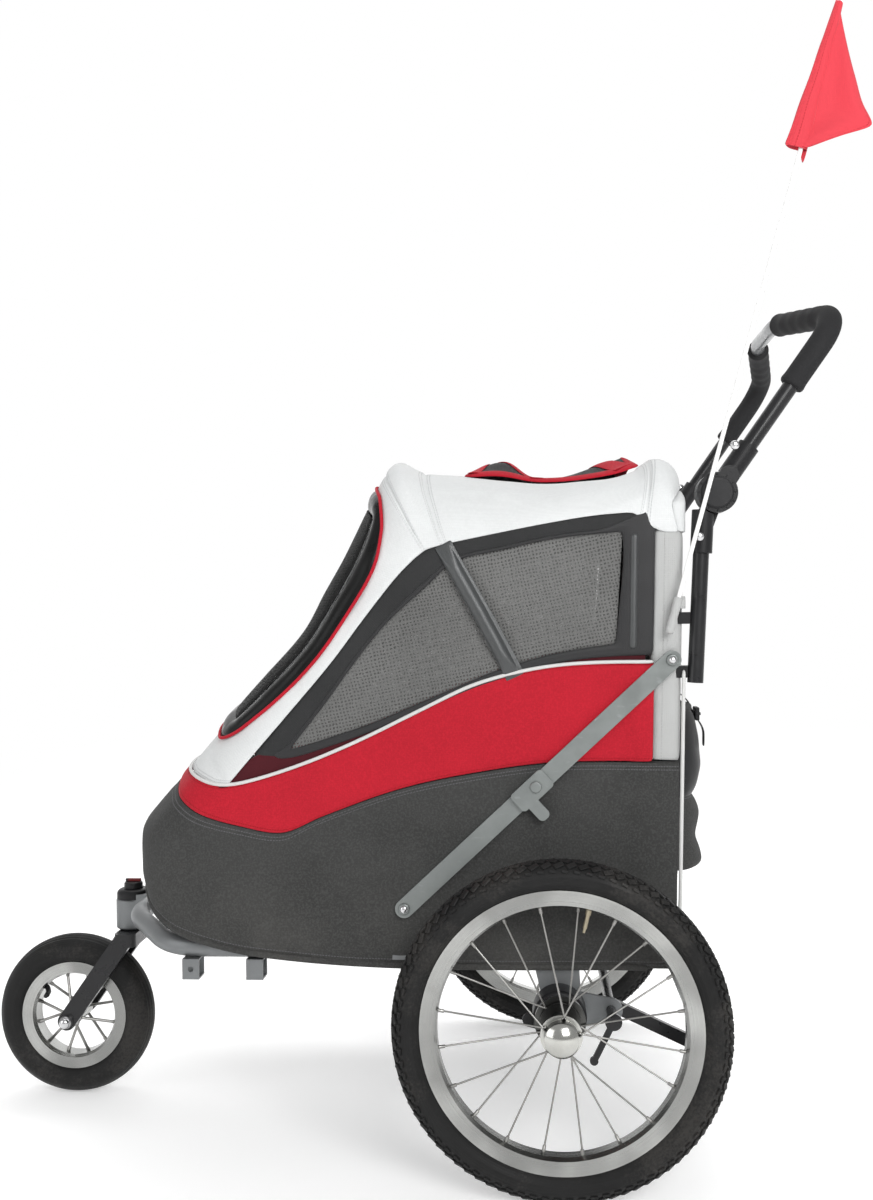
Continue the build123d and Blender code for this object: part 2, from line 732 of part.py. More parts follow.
def sleeve(low, high):
    """The stretch of sleeve between two heights up the back frame, on both sides."""
    section, middle_y = sleeve_outline()
    foot = up_back(low)
    at = Plane(origin=(foot[0], -middle_y, foot[1]), x_dir=(cos(back_tilt), 0, -sin(back_tilt)),
               z_dir=(sin(back_tilt), 0, cos(back_tilt)))
    piece = extrude(at * section, amount=high - low)
    hole = turned(*brace_head, -cabin_half_width - 5, -back_y, pivot_radius + 4)
    piece -= hole
    for height in clamp_heights:
        piece -= clamp_block(height, 1.0)
    return both(piece)


def back_sleeves():
    """Light upper part of the sleeves, with the flag's pocket on the left one."""
    left, right = sleeve(sleeve_split + GAP, sleeve_end)
    return [left + flag_pocket(), right]


def back_sleeve_feet():
    """Dark lower part of the sleeves."""
    return sleeve(sleeve_start, sleeve_split)


def tube_at(height):
    """X of the fixed handle tube's middle at a height."""
    share = (height - tube_foot[1]) / (tube_top[1] - tube_foot[1])
    return tube_foot[0] + share * (tube_top[0] - tube_foot[0])


def clamp_block(height, extra):
    """Block from the back frame's tube to the handle's tube, larger by extra all round."""
    frame_x = up_back(height - hinge_z)[0]
    x0, x1 = frame_x - 4, tube_at(height) + 4
    y0, y1 = back_y - 7, handle_y + 2
    return Pos((x0 + x1) / 2, -(y0 + y1) / 2, height) * Box(
        x1 - x0 + 2 * extra, y1 - y0 + 2 * extra, clamp_height + 2 * extra)


def tube_clamps():
    """Black blocks that hold each handle tube to the back frame, at two heights."""
    made = []
    for height in clamp_heights:
        block = clamp_block(height, 0)
        frame_low, frame_high = up_back(height - hinge_z - 40), up_back(height - hinge_z + 40)
        block -= rod((frame_low[0], -back_y, frame_low[1]), (frame_high[0], -back_y, frame_high[1]),
                     back_tube_radius + SEAT)
        block -= rod((tube_foot[0], -handle_y, tube_foot[1]), (tube_top[0], -handle_y, tube_top[1]),
                     handle_tube_radius + SEAT)
        piece = max(block.solids(), key=lambda s: s.volume)
        made += both(piece)
    return made


def handle_tubes():
    """Fixed lower tubes of the handle, closed by a plug at the foot."""
    foot = (tube_foot[0], -handle_y, tube_foot[1])
    top = (tube_top[0], -handle_y, tube_top[1])
    plug = (tube_at(tube_foot[1] + 6), -handle_y, tube_foot[1] + 6)
    tube = rod(foot, top, handle_tube_radius) - rod(plug, top, handle_tube_radius - handle_tube_wall)
    return both(tube)


# ================================================================ handle
def hinge_sockets():
    """Lower half of each handle hinge: a disc on the inner side and a socket over the fixed tube."""
    low = (tube_top[0] - socket_depth * sin(tube_lean), tube_top[1] - socket_depth * cos(tube_lean))
    high = (tube_top[0] + 24 * sin(tube_lean), tube_top[1] + 24 * cos(tube_lean))
    socket = rod((low[0], -handle_y, low[1]), (high[0], -handle_y, high[1]), hinge_half)
    disc = turned(*handle_hinge, -handle_y + GAP / 2, -handle_y + hinge_half, hinge_radius)
    neck = side_plate(bar_outline(handle_hinge, tube_top, 22), -handle_y + GAP / 2,
                      -handle_y + hinge_half)
    half = socket + disc + neck
    half -= turned(*handle_hinge, -handle_y - 40, -handle_y + GAP / 2, hinge_radius + 1.5)
    half -= turned(*handle_hinge, -handle_y - 20, -handle_y + 20, pivot_radius + RUN)
    half -= rod((tube_foot[0], -handle_y, tube_foot[1]), (tube_top[0], -handle_y, tube_top[1]),
                handle_tube_radius + SEAT)
    return both(max(half.solids(), key=lambda s: s.volume))


def hinge_arms():
    """Upper half of each handle hinge: a disc on the outer side and a socket for the handle's arm."""
    near, far = up_arm(24), up_arm(arm_start + 22)
    socket = rod((near[0], -handle_y, near[1]), (far[0], -handle_y, far[1]), hinge_half)
    disc = turned(*handle_hinge, -handle_y - hinge_half, -handle_y - GAP / 2, hinge_radius)
    neck = side_plate(bar_outline(handle_hinge, near, 24), -handle_y - hinge_half,
                      -handle_y - GAP / 2)
    half = socket + disc + neck
    half -= turned(*handle_hinge, -handle_y - GAP / 2, -handle_y + 40, hinge_radius + 1.5)
    well = -handle_y - hinge_half
    half -= turned(*handle_hinge, well, well + button_travel + 3, button_radius + SEAT)
    root = up_arm(arm_start)
    half -= rod((root[0], -handle_y, root[1]), (far[0], -handle_y, far[1]),
                handle_tube_radius + SEAT)
    pin = turned(*handle_hinge, well + button_travel + 4, -handle_y + hinge_half - 1, pivot_radius)
    return both(max(half.solids(), key=lambda s: s.volume) + pin)


def handle_points():
    """Corner points of the handle's tube, from one arm over the cross bar to the other."""
    root, corner, crown = up_arm(arm_start), up_arm(arm_length), up_arm(arm_length, handle_bow)
    half = [(root[0], -handle_y, root[1]), (corner[0], -handle_y, corner[1]),
            (crown[0], -bare_bar_half, crown[1])]
    return half + [(x, -y, z) for x, y, z in reversed(half)]


def handle_bar():
    """Bent tube of the handle."""
    return bent_tube(handle_points(), [handle_corner_radius, 90, 90, handle_corner_radius],
                     handle_tube_radius, handle_tube_wall)


def grips():
    """Foam grips round the handle's two corners."""
    low = up_arm(arm_length - grip_arm_length - handle_corner_radius)
    corner, crown = up_arm(arm_length), up_arm(arm_length, handle_bow)
    half = [(low[0], -handle_y, low[1]), (corner[0], -handle_y, corner[1]),
            (crown[0], -bare_bar_half, crown[1])]
    path = FilletPolyline(*half, radius=handle_corner_radius)
    ring = Circle(grip_radius) - Circle(handle_tube_radius + SEAT)
    grip = sweep(Plane(origin=path @ 0, z_dir=path % 0) * ring, path=path)
    limit = Pos(0, -bare_bar_half - 14 - 300, 800) * Box(3000, 600, 2000)
    return both(grip & limit)


def hinge_button():
    """Round push button in the outer face of each handle hinge."""
    well = -handle_y - hinge_half
    button = turned(*handle_hinge, well - button_height + button_travel, well + 2.5, button_radius)
    return fillet(button.edges().group_by(Axis.Y)[0], 1.5)


# ================================================================ roof bow and braces
def roof_bow():
    """Tube bent into an arch that leans forward and holds up the front of the roof."""
    lean = radians(bow_angle)

    def along(length):
        return bow_x - length * sin(lean), bow_z + length * cos(lean)

    foot, top, crown = along(0), along(bow_height), along(bow_height + bow_arch)
    half = [(foot[0], -back_y, foot[1]), (top[0], -back_y, top[1])]
    points = half + [(crown[0], 0, crown[1])] + [(x, -y, z) for x, y, z in reversed(half)]
    bow = bent_tube(points, [bow_corner_radius, 400, bow_corner_radius], bow_tube_radius,
                    bow_tube_wall)
    for y in (-back_y, back_y):
        bow += turned(*foot, y - back_tube_radius, y + back_tube_radius, bow_tube_radius)
        bow -= turned(*foot, y - 20, y + 20, pivot_radius + RUN)
    return bow


def brace_upper():
    """Flat bar from the back frame down to the middle joint."""
    outline = bar_outline(brace_head, brace_middle, brace_width)
    outline -= Pos(*brace_head) * Circle(pivot_radius + RUN)
    outline -= Pos(*brace_middle) * Circle(pivot_radius)
    return side_plate(outline, -upper_brace_y - brace_thickness, -upper_brace_y)


def brace_lower():
    """Flat bar from the middle joint down to the base frame."""
    outline = bar_outline(brace_foot, brace_middle, brace_width)
    outline -= Pos(*brace_foot) * Circle(pivot_radius + RUN)
    return side_plate(outline, -brace_y - brace_thickness, -brace_y)


def latch():
    """Plate over the braces' middle joint, with a thumb tab, turning on the joint's rivet."""
    angle = degrees(atan2(brace_direction[1], brace_direction[0]))
    plate = Pos(*brace_middle) * Rot(0, 0, angle) * Pos(-6, 0) * RectangleRounded(
        latch_length, latch_width, 5)
    tab = Pos(*brace_middle) * Rot(0, 0, angle) * Pos(-16, -latch_tab / 2) * RectangleRounded(
        15, latch_tab, 6)
    outline = plate + tab - Pos(*brace_middle) * Circle(pivot_radius + RUN)
    return side_plate(outline, -latch_y - latch_thickness, -latch_y)


def rivet(at, y_low, y_high, outward_head):
    """Round pin along Y with a head on its outer end, for the left side."""
    pin = turned(*at, y_low, y_high, pivot_radius)
    head = turned(*at, y_low - outward_head, y_low, rivet_head_radius)
    return pin + fillet(head.edges().group_by(Axis.Y)[0], outward_head * 0.6)


def frame_pins():
    """Pins of the base frame: back frame, roof bow and brace foot."""
    inner = -back_y + back_tube_radius + GAP + bracket_thickness
    outer = -back_y - back_tube_radius - GAP - bracket_thickness
    hinge = turned(hinge_x, hinge_z, outer, inner, pivot_radius)
    bow = turned(bow_x, bow_z, outer, inner, pivot_radius)
    foot_out = -brace_y - brace_thickness - GAP
    foot_in = -(cabin_half_width - cloth - GAP) + bracket_thickness
    foot = rivet(brace_foot, foot_out, foot_in, rivet_head_height)
    return [both(piece) for piece in (hinge, bow, foot)]


def brace_head_pins():
    """Pins that hold the upper braces to the back frame."""
    outer = -upper_brace_y - brace_thickness - GAP
    return both(rivet(brace_head, outer, -back_y + back_tube_radius, rivet_head_height))


def middle_rivet():
    """Rivet of the braces' middle joint, fixed in the upper brace, on which the latch turns."""
    outer = -latch_y - latch_thickness - GAP
    return rivet(brace_middle, outer, -upper_brace_y, rivet_head_height)


# ================================================================ cabin fabric
def plan_outline(inset):
    """The cabin seen from above, its rear left long; inset moves every side inwards."""
    far = cabin_rear_x + 600
    half = cabin_half_width
    mid = (corner_x + shoulder_x) / 2 - 24, -(half + shoulder_y) / 2 - 16
    line = Line((far, -half), (corner_x, -half))
    corner = ThreePointArc((corner_x, -half), mid, (shoulder_x, -shoulder_y))
    front = ThreePointArc((shoulder_x, -shoulder_y), (nose_x, 0), (shoulder_x, shoulder_y))
    other = ThreePointArc((shoulder_x, shoulder_y), (mid[0], -mid[1]), (corner_x, half))
    back = [Line((corner_x, half), (far, half)), Line((far, half), (far, -half))]
    face = make_face([line, corner, front, other] + back)
    return offset(face, amount=-inset) if inset else face


def cabin_block(inset):
    """The cabin's solid form: a plan outline carried up a front that leans back in three steps."""
    face = plan_outline(inset)
    ground = 200.0
    low = extrude(Pos(0, 0, ground) * face, amount=knee_z - ground)
    run, rise = lower_lean
    mid = extrude(Pos(0, 0, knee_z) * face, amount=hypot(run, rise), dir=(run, 0, rise))
    upper_run, upper_rise = upper_lean
    upper = extrude(Pos(run, 0, sill_z) * face, amount=hypot(*upper_lean),
                    dir=(upper_run, 0, upper_rise))
    brow_run, brow_rise = brow_lean
    brow = extrude(Pos(run + upper_run, 0, brow_z) * face, amount=hypot(*brow_lean) * 1.2,
                   dir=(brow_run, 0, brow_rise))
    half, edge, crown = cabin_half_width - inset, roof_edge_z - inset, roof_crown_z - inset
    radius = roof_corner_radius - inset
    side = half - radius
    section = make_face([
        Line((-half, 100), (-half, edge - radius)),
        ThreePointArc((-half, edge - radius), (-side - radius * 0.7071, edge - radius * 0.2929),
                      (-side, edge)),
        ThreePointArc((-side, edge), (0, crown), (side, edge)),
        ThreePointArc((side, edge), (side + radius * 0.7071, edge - radius * 0.2929),
                      (half, edge - radius)),
        Line((half, edge - radius), (half, 100)), Line((half, 100), (-half, 100))])
    across = Plane(origin=(-700, 0, 0), x_dir=(0, 1, 0), z_dir=(1, 0, 0))
    block = (low + mid + upper + brow) & extrude(across * section, amount=1500)
    roof = [(x, z - inset) for x, z in roof_line]
    rear_top = up_back(roof[-1][1] - roof_corner - hinge_z, fascia - inset)
    rear_foot = up_back(100 - hinge_z, fascia - inset)
    profile = make_face([Line((-600, 100), (-600, 900)), Line((-600, 900), (roof[0][0], 900)),
                         Line((roof[0][0], 900), roof[0]), Spline(*roof),
                         Line(roof[-1], rear_top), Line(rear_top, rear_foot),
                         Line(rear_foot, (-600, 100))])
    return block & side_plate(profile, -400, 400)


def region(low, high):
    """A slab right across the cabin between two side-view curves; None is far below or above."""
    floor, ceiling = [(-700, 0), (900, 0)], [(-700, 1200), (900, 1200)]
    bottom = low_curve(low) if low else [Line(*floor)]
    top = low_curve(high) if high else [Line(*ceiling)]
    b0, b1 = bottom[0] @ 0, bottom[-1] @ 1
    t0, t1 = top[0] @ 0, top[-1] @ 1
    face = make_face(bottom + [Line(b1, t1)] + top + [Line(t0, b0)])
    return side_plate(face, -400, 400)


def low_curve(points):
    """A spline through the points, carried out straight at both ends."""
    first, last = points[0], points[-1]
    return [Line((-700, first[1]), first), Spline(*points), Line(last, (900, last[1]))]


def cabin_shell():
    return cabin_block(0) - cabin_block(cloth)


def rear_opening():
    """What is cut from the shell's rear: the door's opening and the room of the two sleeves."""
    tall = sleeve_end - sleeve_start + 2 * GAP
    middle = sleeve_start - GAP + tall / 2
    depth = sleeve_front + GAP + 60
    room = on_back(middle, depth / 2 - sleeve_front - GAP, Box(depth, 900, tall))
    edge = 4.0
    doorway = Pos(0, 0, door_height / 2) * Box(80, 2 * (door_half_width + edge),
                                               door_height + 2 * edge)
    doorway = fillet(doorway.edges().filter_by(Axis.X).group_by(Axis.Z)[-1], 60)
    floor = Pos(0, 0, hinge_z + 4 + 100) * Box(2000, 2 * (door_half_width + edge), 200)
    return room + on_back(door_bottom, 5, doorway) + (floor & on_back(0, 30, Box(60, 900, 400)))


def window_face():
    """Front-view outline of the front window."""
    low = sill_z + 12
    height = window_top_z - low
    return Pos(0, low + height / 2) * RectangleRounded(2 * window_half_width, height, window_corner)


def front_window_block():
    """The room of the front window: its outline carried back from the nose to mid-cabin."""
    across = Plane(origin=(-600, 0, 0), x_dir=(0, 1, 0), z_dir=(1, 0, 0))
    return extrude(across * window_face(), amount=600 + 60)


def side_window_face(inset):
    """Side-view outline of the side window, whose rear side runs along the sleeve."""
    sill = [(x, z + 10) for x, z in piping if window_outline[0][0] + 6 < x < hinge_x - 60]
    rear_low = up_back(piping[-1][1] + 9 - hinge_z, -sleeve_front - GAP)
    rear_top = up_back(window_top_rear_z - hinge_z, -sleeve_front - GAP)
    curve = Spline(window_outline[0], *sill, rear_low)
    steps = 14
    lower = [curve @ (k / steps) for k in range(1, steps)]
    face = make_face(Polyline(window_outline[0], *lower, rear_low, rear_top,
                              *reversed(window_outline[1:]), close=True))
    return offset(face, amount=-inset, kind=Kind.INTERSECTION) if inset else face


def left_wall(face):
    """The part of the cabin's left wall inside a side-view outline, and its mirror image."""
    slab = Pos(0, -cabin_half_width, 500) * Box(1600, 60, 1200)
    return both(cabin_shell() & slab & side_plate(face, -cabin_half_width - 40, 0))


def skirt():
    """Dark lower wall of the cabin, all round, with a grommet at the foot of each brace."""
    wall = (cabin_shell() & region(hem, red_edge)) - rear_opening()
    return wall - turned(*brace_foot, -400, 400, pivot_radius + grommet_gap)


def red_band():
    """Red wall above it."""
    return (cabin_shell() & region(red_edge, piping)) - rear_opening()


def canopy():
    """Light upper wall and roof, with openings for the windows."""
    wall = (cabin_shell() & region(piping, None)) - rear_opening()
    wall -= side_plate(side_window_face(0), -400, 400)
    return wall - front_window_block() - hatch_room(GAP)


def side_windows():
    """Dark border of each side window, cut for the netting."""
    return left_wall(side_window_face(GAP) - side_window_face(mesh_inset))


def side_mesh():
    """Netting of the side windows."""
    return left_wall(side_window_face(mesh_inset + GAP))


def front_panel(face):
    """The part of the cabin's front wall inside a front-view outline."""
    across = Plane(origin=(-600, 0, 0), x_dir=(0, 1, 0), z_dir=(1, 0, 0))
    return cabin_shell() & extrude(across * face, amount=600 + 60)


def front_window():
    """Dark border of the front window, which opens upwards about its upper edge."""
    outer, inner = (offset(window_face(), amount=-d) for d in (GAP, front_border))
    return front_panel(outer - inner)


def front_mesh():
    """Netting of the front window."""
    return front_panel(offset(window_face(), amount=-front_border - GAP))


def hatch_room(grow):
    """The room of the roof hatch, from above."""
    length, width = hatch_rear_x - hatch_front_x + 2 * grow, 2 * (hatch_half_width + grow)
    middle = (hatch_front_x + hatch_rear_x) / 2
    return extrude(Pos(middle, 0, roof_crown_z - 60) * RectangleRounded(length, width, 30 + grow),
                   amount=100)


def roof_hatch():
    """Netting let into the roof."""
    return cabin_shell() & hatch_room(0)


# ================================================================ rear door, bag and flag
def on_back(height, behind, piece):
    """Puts a piece made upright at the origin on the back frame, with its lean."""
    x, z = up_back(height, behind)
    return Pos(x, 0, z) * Rot(0, back_lean, 0) * piece


def rear_door():
    """Fabric door between the uprights, hinged along its lower edge."""
    panel = Pos(0, 0, door_height / 2) * Box(door_thickness, 2 * door_half_width, door_height)
    panel = fillet(panel.edges().filter_by(Axis.X).group_by(Axis.Z)[-1], 60)
    return on_back(door_bottom, 5, panel)


def rear_bag():
    """Storage pouch on the outside of the door, open at the top."""
    pouch = Pos(bag_depth / 2 + door_thickness / 2 + GAP, 0, bag_bottom + bag_height / 2) * Box(
        bag_depth, 2 * bag_half_width, bag_height)
    pouch = fillet(pouch.edges().filter_by(Axis.X), 22)
    pouch = fillet(pouch.faces().sort_by(Axis.X)[-1].edges(), 9)
    room = Pos(bag_depth / 2 + door_thickness / 2 + GAP, 0, bag_bottom + bag_height / 2 + bag_wall)
    pouch -= room * Box(bag_depth - 2 * bag_wall, 2 * (bag_half_width - 14), bag_height)
    return on_back(door_bottom, 5, pouch)


def up_pole(length):
    """A point on the flag pole's middle line, that far up it."""
    return tuple(Vector(*pole_foot) + pole_line * length)


def flag_pocket():
    """Tube for the flag's pole, closed below, on a bent tab from the back of the left sleeve."""
    high = up_pole(pocket_length)
    low_z, high_z = tab_z
    behind = up_back(high_z - hinge_z, sleeve_rear)[0] + 0.5
    outer = -pole_foot[1] - 3.0
    shape = make_face(Polyline(
        (pole_foot[0] + 8, -outer), (behind + tab_thickness, -outer),
        (behind + tab_thickness, -back_y - 3), (behind - 1.8, -back_y - 3),
        (behind - 1.8, -cabin_half_width + 6), (behind, -cabin_half_width + 4),
        (behind, -outer + tab_thickness), (pole_foot[0] + 8, -outer + tab_thickness), close=True))
    tab = extrude(Pos(0, 0, low_z) * shape, amount=high_z - low_z)
    tube = rod(up_pole(-5), high, pocket_radius)
    return tube + tab - rod(up_pole(0), high, pole_radius + RUN)


def flag_pole():
    """Thin white rod that slides out of the pocket."""
    return rod(up_pole(GAP), up_pole(pole_length), pole_radius)


def flag():
    """Pennant: a hem round the pole's top and a cloth that hangs behind it."""
    low = pole_length - flag_height
    at = Plane(origin=up_pole(low), x_dir=Vector(cos(radians(pole_lean)), 0, -sin(radians(pole_lean))),
               z_dir=Vector(cos(radians(pole_lean)), 0, -sin(radians(pole_lean))).cross(pole_line))
    sheet = extrude(at * make_face(Polyline(*flag_outline, close=True)), amount=flag_thickness / 2,
                    both=True)
    hem_tube = rod(up_pole(low + 8), up_pole(pole_length - 1), flag_sleeve_radius)
    return hem_tube + sheet - rod(up_pole(low - 40), up_pole(pole_length + 9), pole_radius + SEAT)


# ================================================================ the nodes
def nodes():
    """Each node's name and its solids."""
    made = {
        "base_frame": base_frame(), "cross_tubes": cross_tubes(), "axle_beam": axle_beam(),
        "axle_plates": axle_plates(), "axle_housings": axle_housings(),
        "wheel_axles": wheel_axles(), "floor_board": floor_board(), "floor_mat": floor_mat(),
        "head_housing": head_housing(), "head_cap": head_cap(), "tow_sockets": tow_sockets(),
        "frame_brackets": frame_brackets(), "frame_pins": frame_pins(),
        "skirt": skirt(), "red_band": red_band(), "canopy": canopy(),
        "side_windows": side_windows(), "side_mesh": side_mesh(), "roof_hatch": roof_hatch(),
        "front_window": front_window(), "front_mesh": front_mesh(),
        "swivel_knob": swivel_knob(), "fork": fork(), "nose_axle": nose_axle(),
        "nose_tyre": nose_tyre(), "nose_rim": nose_rim(), "nose_spokes": nose_spokes(),
        "nose_hub": nose_hub(), "brake_bar": [brake_bar(), brake_fingers()],
        "back_frame": back_frame(),
        "back_sleeves": [back_sleeves(), back_sleeve_feet()],
        "tube_clamps": tube_clamps(), "handle_tubes": handle_tubes(),
        "hinge_sockets": hinge_sockets(), "brace_pins": brace_head_pins(),
        "handle_bar": handle_bar(), "grips": grips(), "hinge_arms": hinge_arms(),
        "roof_bow": roof_bow(), "rear_door": rear_door(), "rear_bag": rear_bag(),
        "flag_pole": flag_pole(), "flag": flag(),
    }
    for name, make in (("rear_tyre", rear_tyre), ("rear_rim", rear_rim),
                       ("rear_spokes", rear_spokes),
                       ("rear_hub", lambda: [rear_hub(), hub_cap(), brake_disc()])):
        made[name + "_left"], made[name + "_right"] = left_and_right(make)
    paired = (("hinge_button", hinge_button()), ("brace_lower", brace_lower()),
              ("brace_upper", [brace_upper(), middle_rivet()]), ("latch", latch()))
    for name, piece in paired:
        left = solids_of(piece)
        made[name + "_left"] = left
        made[name + "_right"] = [mirror(s, about=Plane.XZ) for s in left]
    return made


os.makedirs("parts", exist_ok=True)
for name, pieces in nodes().items():
    solids = solids_of(pieces)
    whole = solids[0] if len(solids) == 1 else Compound(children=solids)
    export_step(whole, f"parts/{name}.step")
    print(name, len(solids))
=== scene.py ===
from bisect import bisect_right
from math import atan2, cos, exp, hypot, pi, radians, sin, tan

import bmesh
import bpy
from bpy.props import FloatProperty, FloatVectorProperty, IntProperty, PointerProperty
from bpy.types import Operator, Panel, PropertyGroup
from mathutils import Matrix, Vector, noise


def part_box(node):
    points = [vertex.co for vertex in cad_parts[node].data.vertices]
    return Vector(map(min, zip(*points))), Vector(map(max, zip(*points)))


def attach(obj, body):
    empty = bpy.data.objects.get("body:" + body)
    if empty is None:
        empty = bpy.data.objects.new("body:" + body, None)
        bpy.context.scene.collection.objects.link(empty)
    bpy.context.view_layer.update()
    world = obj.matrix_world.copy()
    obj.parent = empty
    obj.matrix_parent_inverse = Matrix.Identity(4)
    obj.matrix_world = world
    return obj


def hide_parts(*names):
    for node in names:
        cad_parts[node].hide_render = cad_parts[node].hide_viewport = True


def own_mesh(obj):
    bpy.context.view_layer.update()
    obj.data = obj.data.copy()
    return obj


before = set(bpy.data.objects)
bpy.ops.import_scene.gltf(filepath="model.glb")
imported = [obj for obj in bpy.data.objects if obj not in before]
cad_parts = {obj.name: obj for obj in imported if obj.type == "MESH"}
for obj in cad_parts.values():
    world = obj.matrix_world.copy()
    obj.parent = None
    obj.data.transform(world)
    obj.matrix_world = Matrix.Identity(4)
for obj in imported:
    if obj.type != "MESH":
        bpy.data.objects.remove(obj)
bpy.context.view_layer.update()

bl_info = {
    "name": "Pet stroller dressing",
    "version": (1, 0, 0),
    "blender": (4, 5, 0),
    "location": "3D View > Sidebar > Stroller",
    "description": "Cloth, tyres, grips, finishes and studio for a folding three-wheeled pet stroller",
    "category": "Object",
}

# The stroller stands on the ground: +Z is up, +X points to the handle, -X to the nose wheel,
# and -Y is the left-hand side. Lengths in the tables below are millimetres.
MM = 0.001
SIDES = (("left", -1), ("right", 1))
WHITE = (1.0, 1.0, 1.0, 1.0)
LEAN = 0.03143                    # the back frame's uprights lean back by this much per unit of height
HINGE = Vector((335, 0, 328))
NOSE_AXLE = Vector((-475, 0, 111.6))
CABIN = "chassis"                 # body that the cabin's cloth rides on

# Height against X of the cloth's sewn lines on each side wall
HEM = [(-345, 334), (-320, 330), (-294, 304), (-257, 284), (-170, 261), (14, 247), (345, 247)]
RED_EDGE = [(-345, 462), (-300, 462), (-276, 462), (-256, 447), (-228, 431), (-179, 417), (-126, 409),
            (-80, 428), (18, 462), (115, 482), (210, 493), (352, 493)]
PIPING = [(-345, 490), (-255, 480), (-209, 468), (-178, 470), (-104, 492), (-30, 522), (43, 557),
          (116, 590), (212, 610), (352, 613)]

# The tub seen from above, from the nose round to where its straight side starts
NOSE_PLAN = [(-340, 0), (-338.5, 50), (-334, 105), (-325, 155), (-313, 193), (-295, 220),
             (-268, 235), (-238, 240)]

# Canopy, front to back: along the middle, where the rounded shoulder ends, and the cloth's lower edge
CANOPY = [((-312, 440), (-258, 393), (-258, 393)), ((-223, 543), (-169, 496), (-169, 496)),
          ((-170, 604), (-116, 556), (-116, 556)), ((-119, 662), (-64, 616), (-64, 616)),
          ((-94, 710), (-24, 668), (-24, 668)), ((-67, 759), (13, 716), (14, 715)),
          ((-38, 812), (30, 743), (37, 738)), ((-22, 848), (34, 765), (47, 746)),
          ((-8, 872), (37, 781), (53, 750)), ((4, 881), (43, 787), (58, 752)),
          ((14, 878), (50, 782), (62, 753)), ((28, 869), (60, 774), (69, 755)),
          ((44, 863), (73, 767), (77, 757)), ((93, 859), (106, 766), (108, 763)),
          ((145, 853), (149, 772), (150, 771)), ((196, 848), (198, 781), (198, 779.5)),
          ((249, 847), (248, 789), (248, 787)), ((290, 851), (286, 793), (285, 790)),
          ((318, 860), (308, 799), (304, 789)), ((334, 869), (320, 805), (316, 779)),
          ((347, 870), (331, 808), (329, 769)), ((357, 862), (338, 807), (341, 766)),
          ((362, 848), (343, 805), (350, 766)), ((362, 832), (347, 800), (355, 766))]
# The shoulder's section: distance from the middle, and share of the depth
SHOULDER = [(0, 0), (40, 0.009), (80, 0.037), (120, 0.093), (150, 0.157), (172, 0.225), (195, 0.328),
            (214, 0.47), (228, 0.647), (237, 0.843), (240, 1.0)]

# Side windows: the binding's outer edge and the netting's edge, each in three runs that meet at corners
SILL_RUN = [(-160, 505), (-117, 502), (-60, 518), (-4, 538), (55, 563), (140, 597), (195, 612),
            (250, 619), (319, 621)]
REAR_RUN = [(319, 621), (322, 700), (325, 793)]
TOP_RUN = [(325, 793), (286, 791), (227, 785), (167, 777), (119, 766), (85, 759), (58, 753),
           (42, 743), (21, 723), (-15, 678), (-66, 615), (-116, 556), (-160, 505)]
NET_SILL = [(-117, 510), (-64, 526), (-13, 543), (60, 573), (134, 603), (195, 621), (240, 629), (279, 634)]
NET_REAR = [(279, 634), (285, 686), (290, 734), (289, 769)]
NET_TOP = [(289, 769), (215, 763), (143, 749), (88, 737), (58, 712), (-4, 655), (-79, 558), (-117, 511)]
BOW_LINE = [(72, 757), (82, 738), (114, 679), (146, 617), (157, 594)]


# ---------------------------------------------------------------- curves
def running(points):
    """Running length at each of the points."""
    total = [0.0]
    for p, q in zip(points, points[1:]):
        total.append(total[-1] + (q - p).length)
    return total


class Line:
    """Smooth line through rows of numbers; keys rise along it, and are its running length if not given."""

    def __init__(self, rows, keys=None):
        self.rows = [Vector(map(float, row)) for row in rows]
        self.keys = keys or running(self.rows)
        self.end = self.keys[-1]

    def slope(self, i):
        low, high = max(i - 1, 0), min(i + 1, len(self.rows) - 1)
        return (self.rows[high] - self.rows[low]) / (self.keys[high] - self.keys[low])

    def __call__(self, at):
        i = min(max(bisect_right(self.keys, at) - 1, 0), len(self.rows) - 2)
        step = self.keys[i + 1] - self.keys[i]
        s = (at - self.keys[i]) / step
        return ((2 * s ** 3 - 3 * s ** 2 + 1) * self.rows[i]
                + (s ** 3 - 2 * s ** 2 + s) * step * self.slope(i)
                + (3 * s ** 2 - 2 * s ** 3) * self.rows[i + 1] + (s ** 3 - s ** 2) * step * self.slope(i + 1))

    def way(self, at):
        """Direction of the line at a key."""
        return (self(min(at + 1, self.end)) - self(max(at - 1, 0))).normalized()

    def spaced(self, count):
        """Points at even steps from one end to the other."""
        return [self(self.end * i / (count - 1)) for i in range(count)]


def height_line(points):
    """Height as a function of X."""
    line = Line([(z, 0) for x, z in points], [float(x) for x, z in points])
    return lambda x: line(min(max(x, line.keys[0]), line.end))[0]


def ease(x):
    """0 below 0, 1 above 1, smooth between."""
    x = min(max(x, 0.0), 1.0)
    return x * x * (3 - 2 * x)


def bump(x, middle, half):
    """1 at the middle, falling smoothly to 0 at half a width to either side."""
    return ease(1 - abs(x - middle) / half)


hem_z, red_z, piping_z = height_line(HEM), height_line(RED_EDGE), height_line(PIPING)
plan = Line(NOSE_PLAN)
canopy_keys = Line([middle for middle, _, _ in CANOPY]).keys
canopy_middle = Line([middle for middle, _, _ in CANOPY])
canopy_end = Line([end for _, end, _ in CANOPY], canopy_keys)
canopy_edge = Line([edge for _, _, edge in CANOPY], canopy_keys)
shoulder = Line([(y, share * 102) for y, share in SHOULDER])
shoulder_share = Line([(share, 0) for _, share in SHOULDER], [float(y) for y, _ in SHOULDER])
SHOULDER_START = 200.0            # out to here the canopy's columns lie at fixed distances from the middle


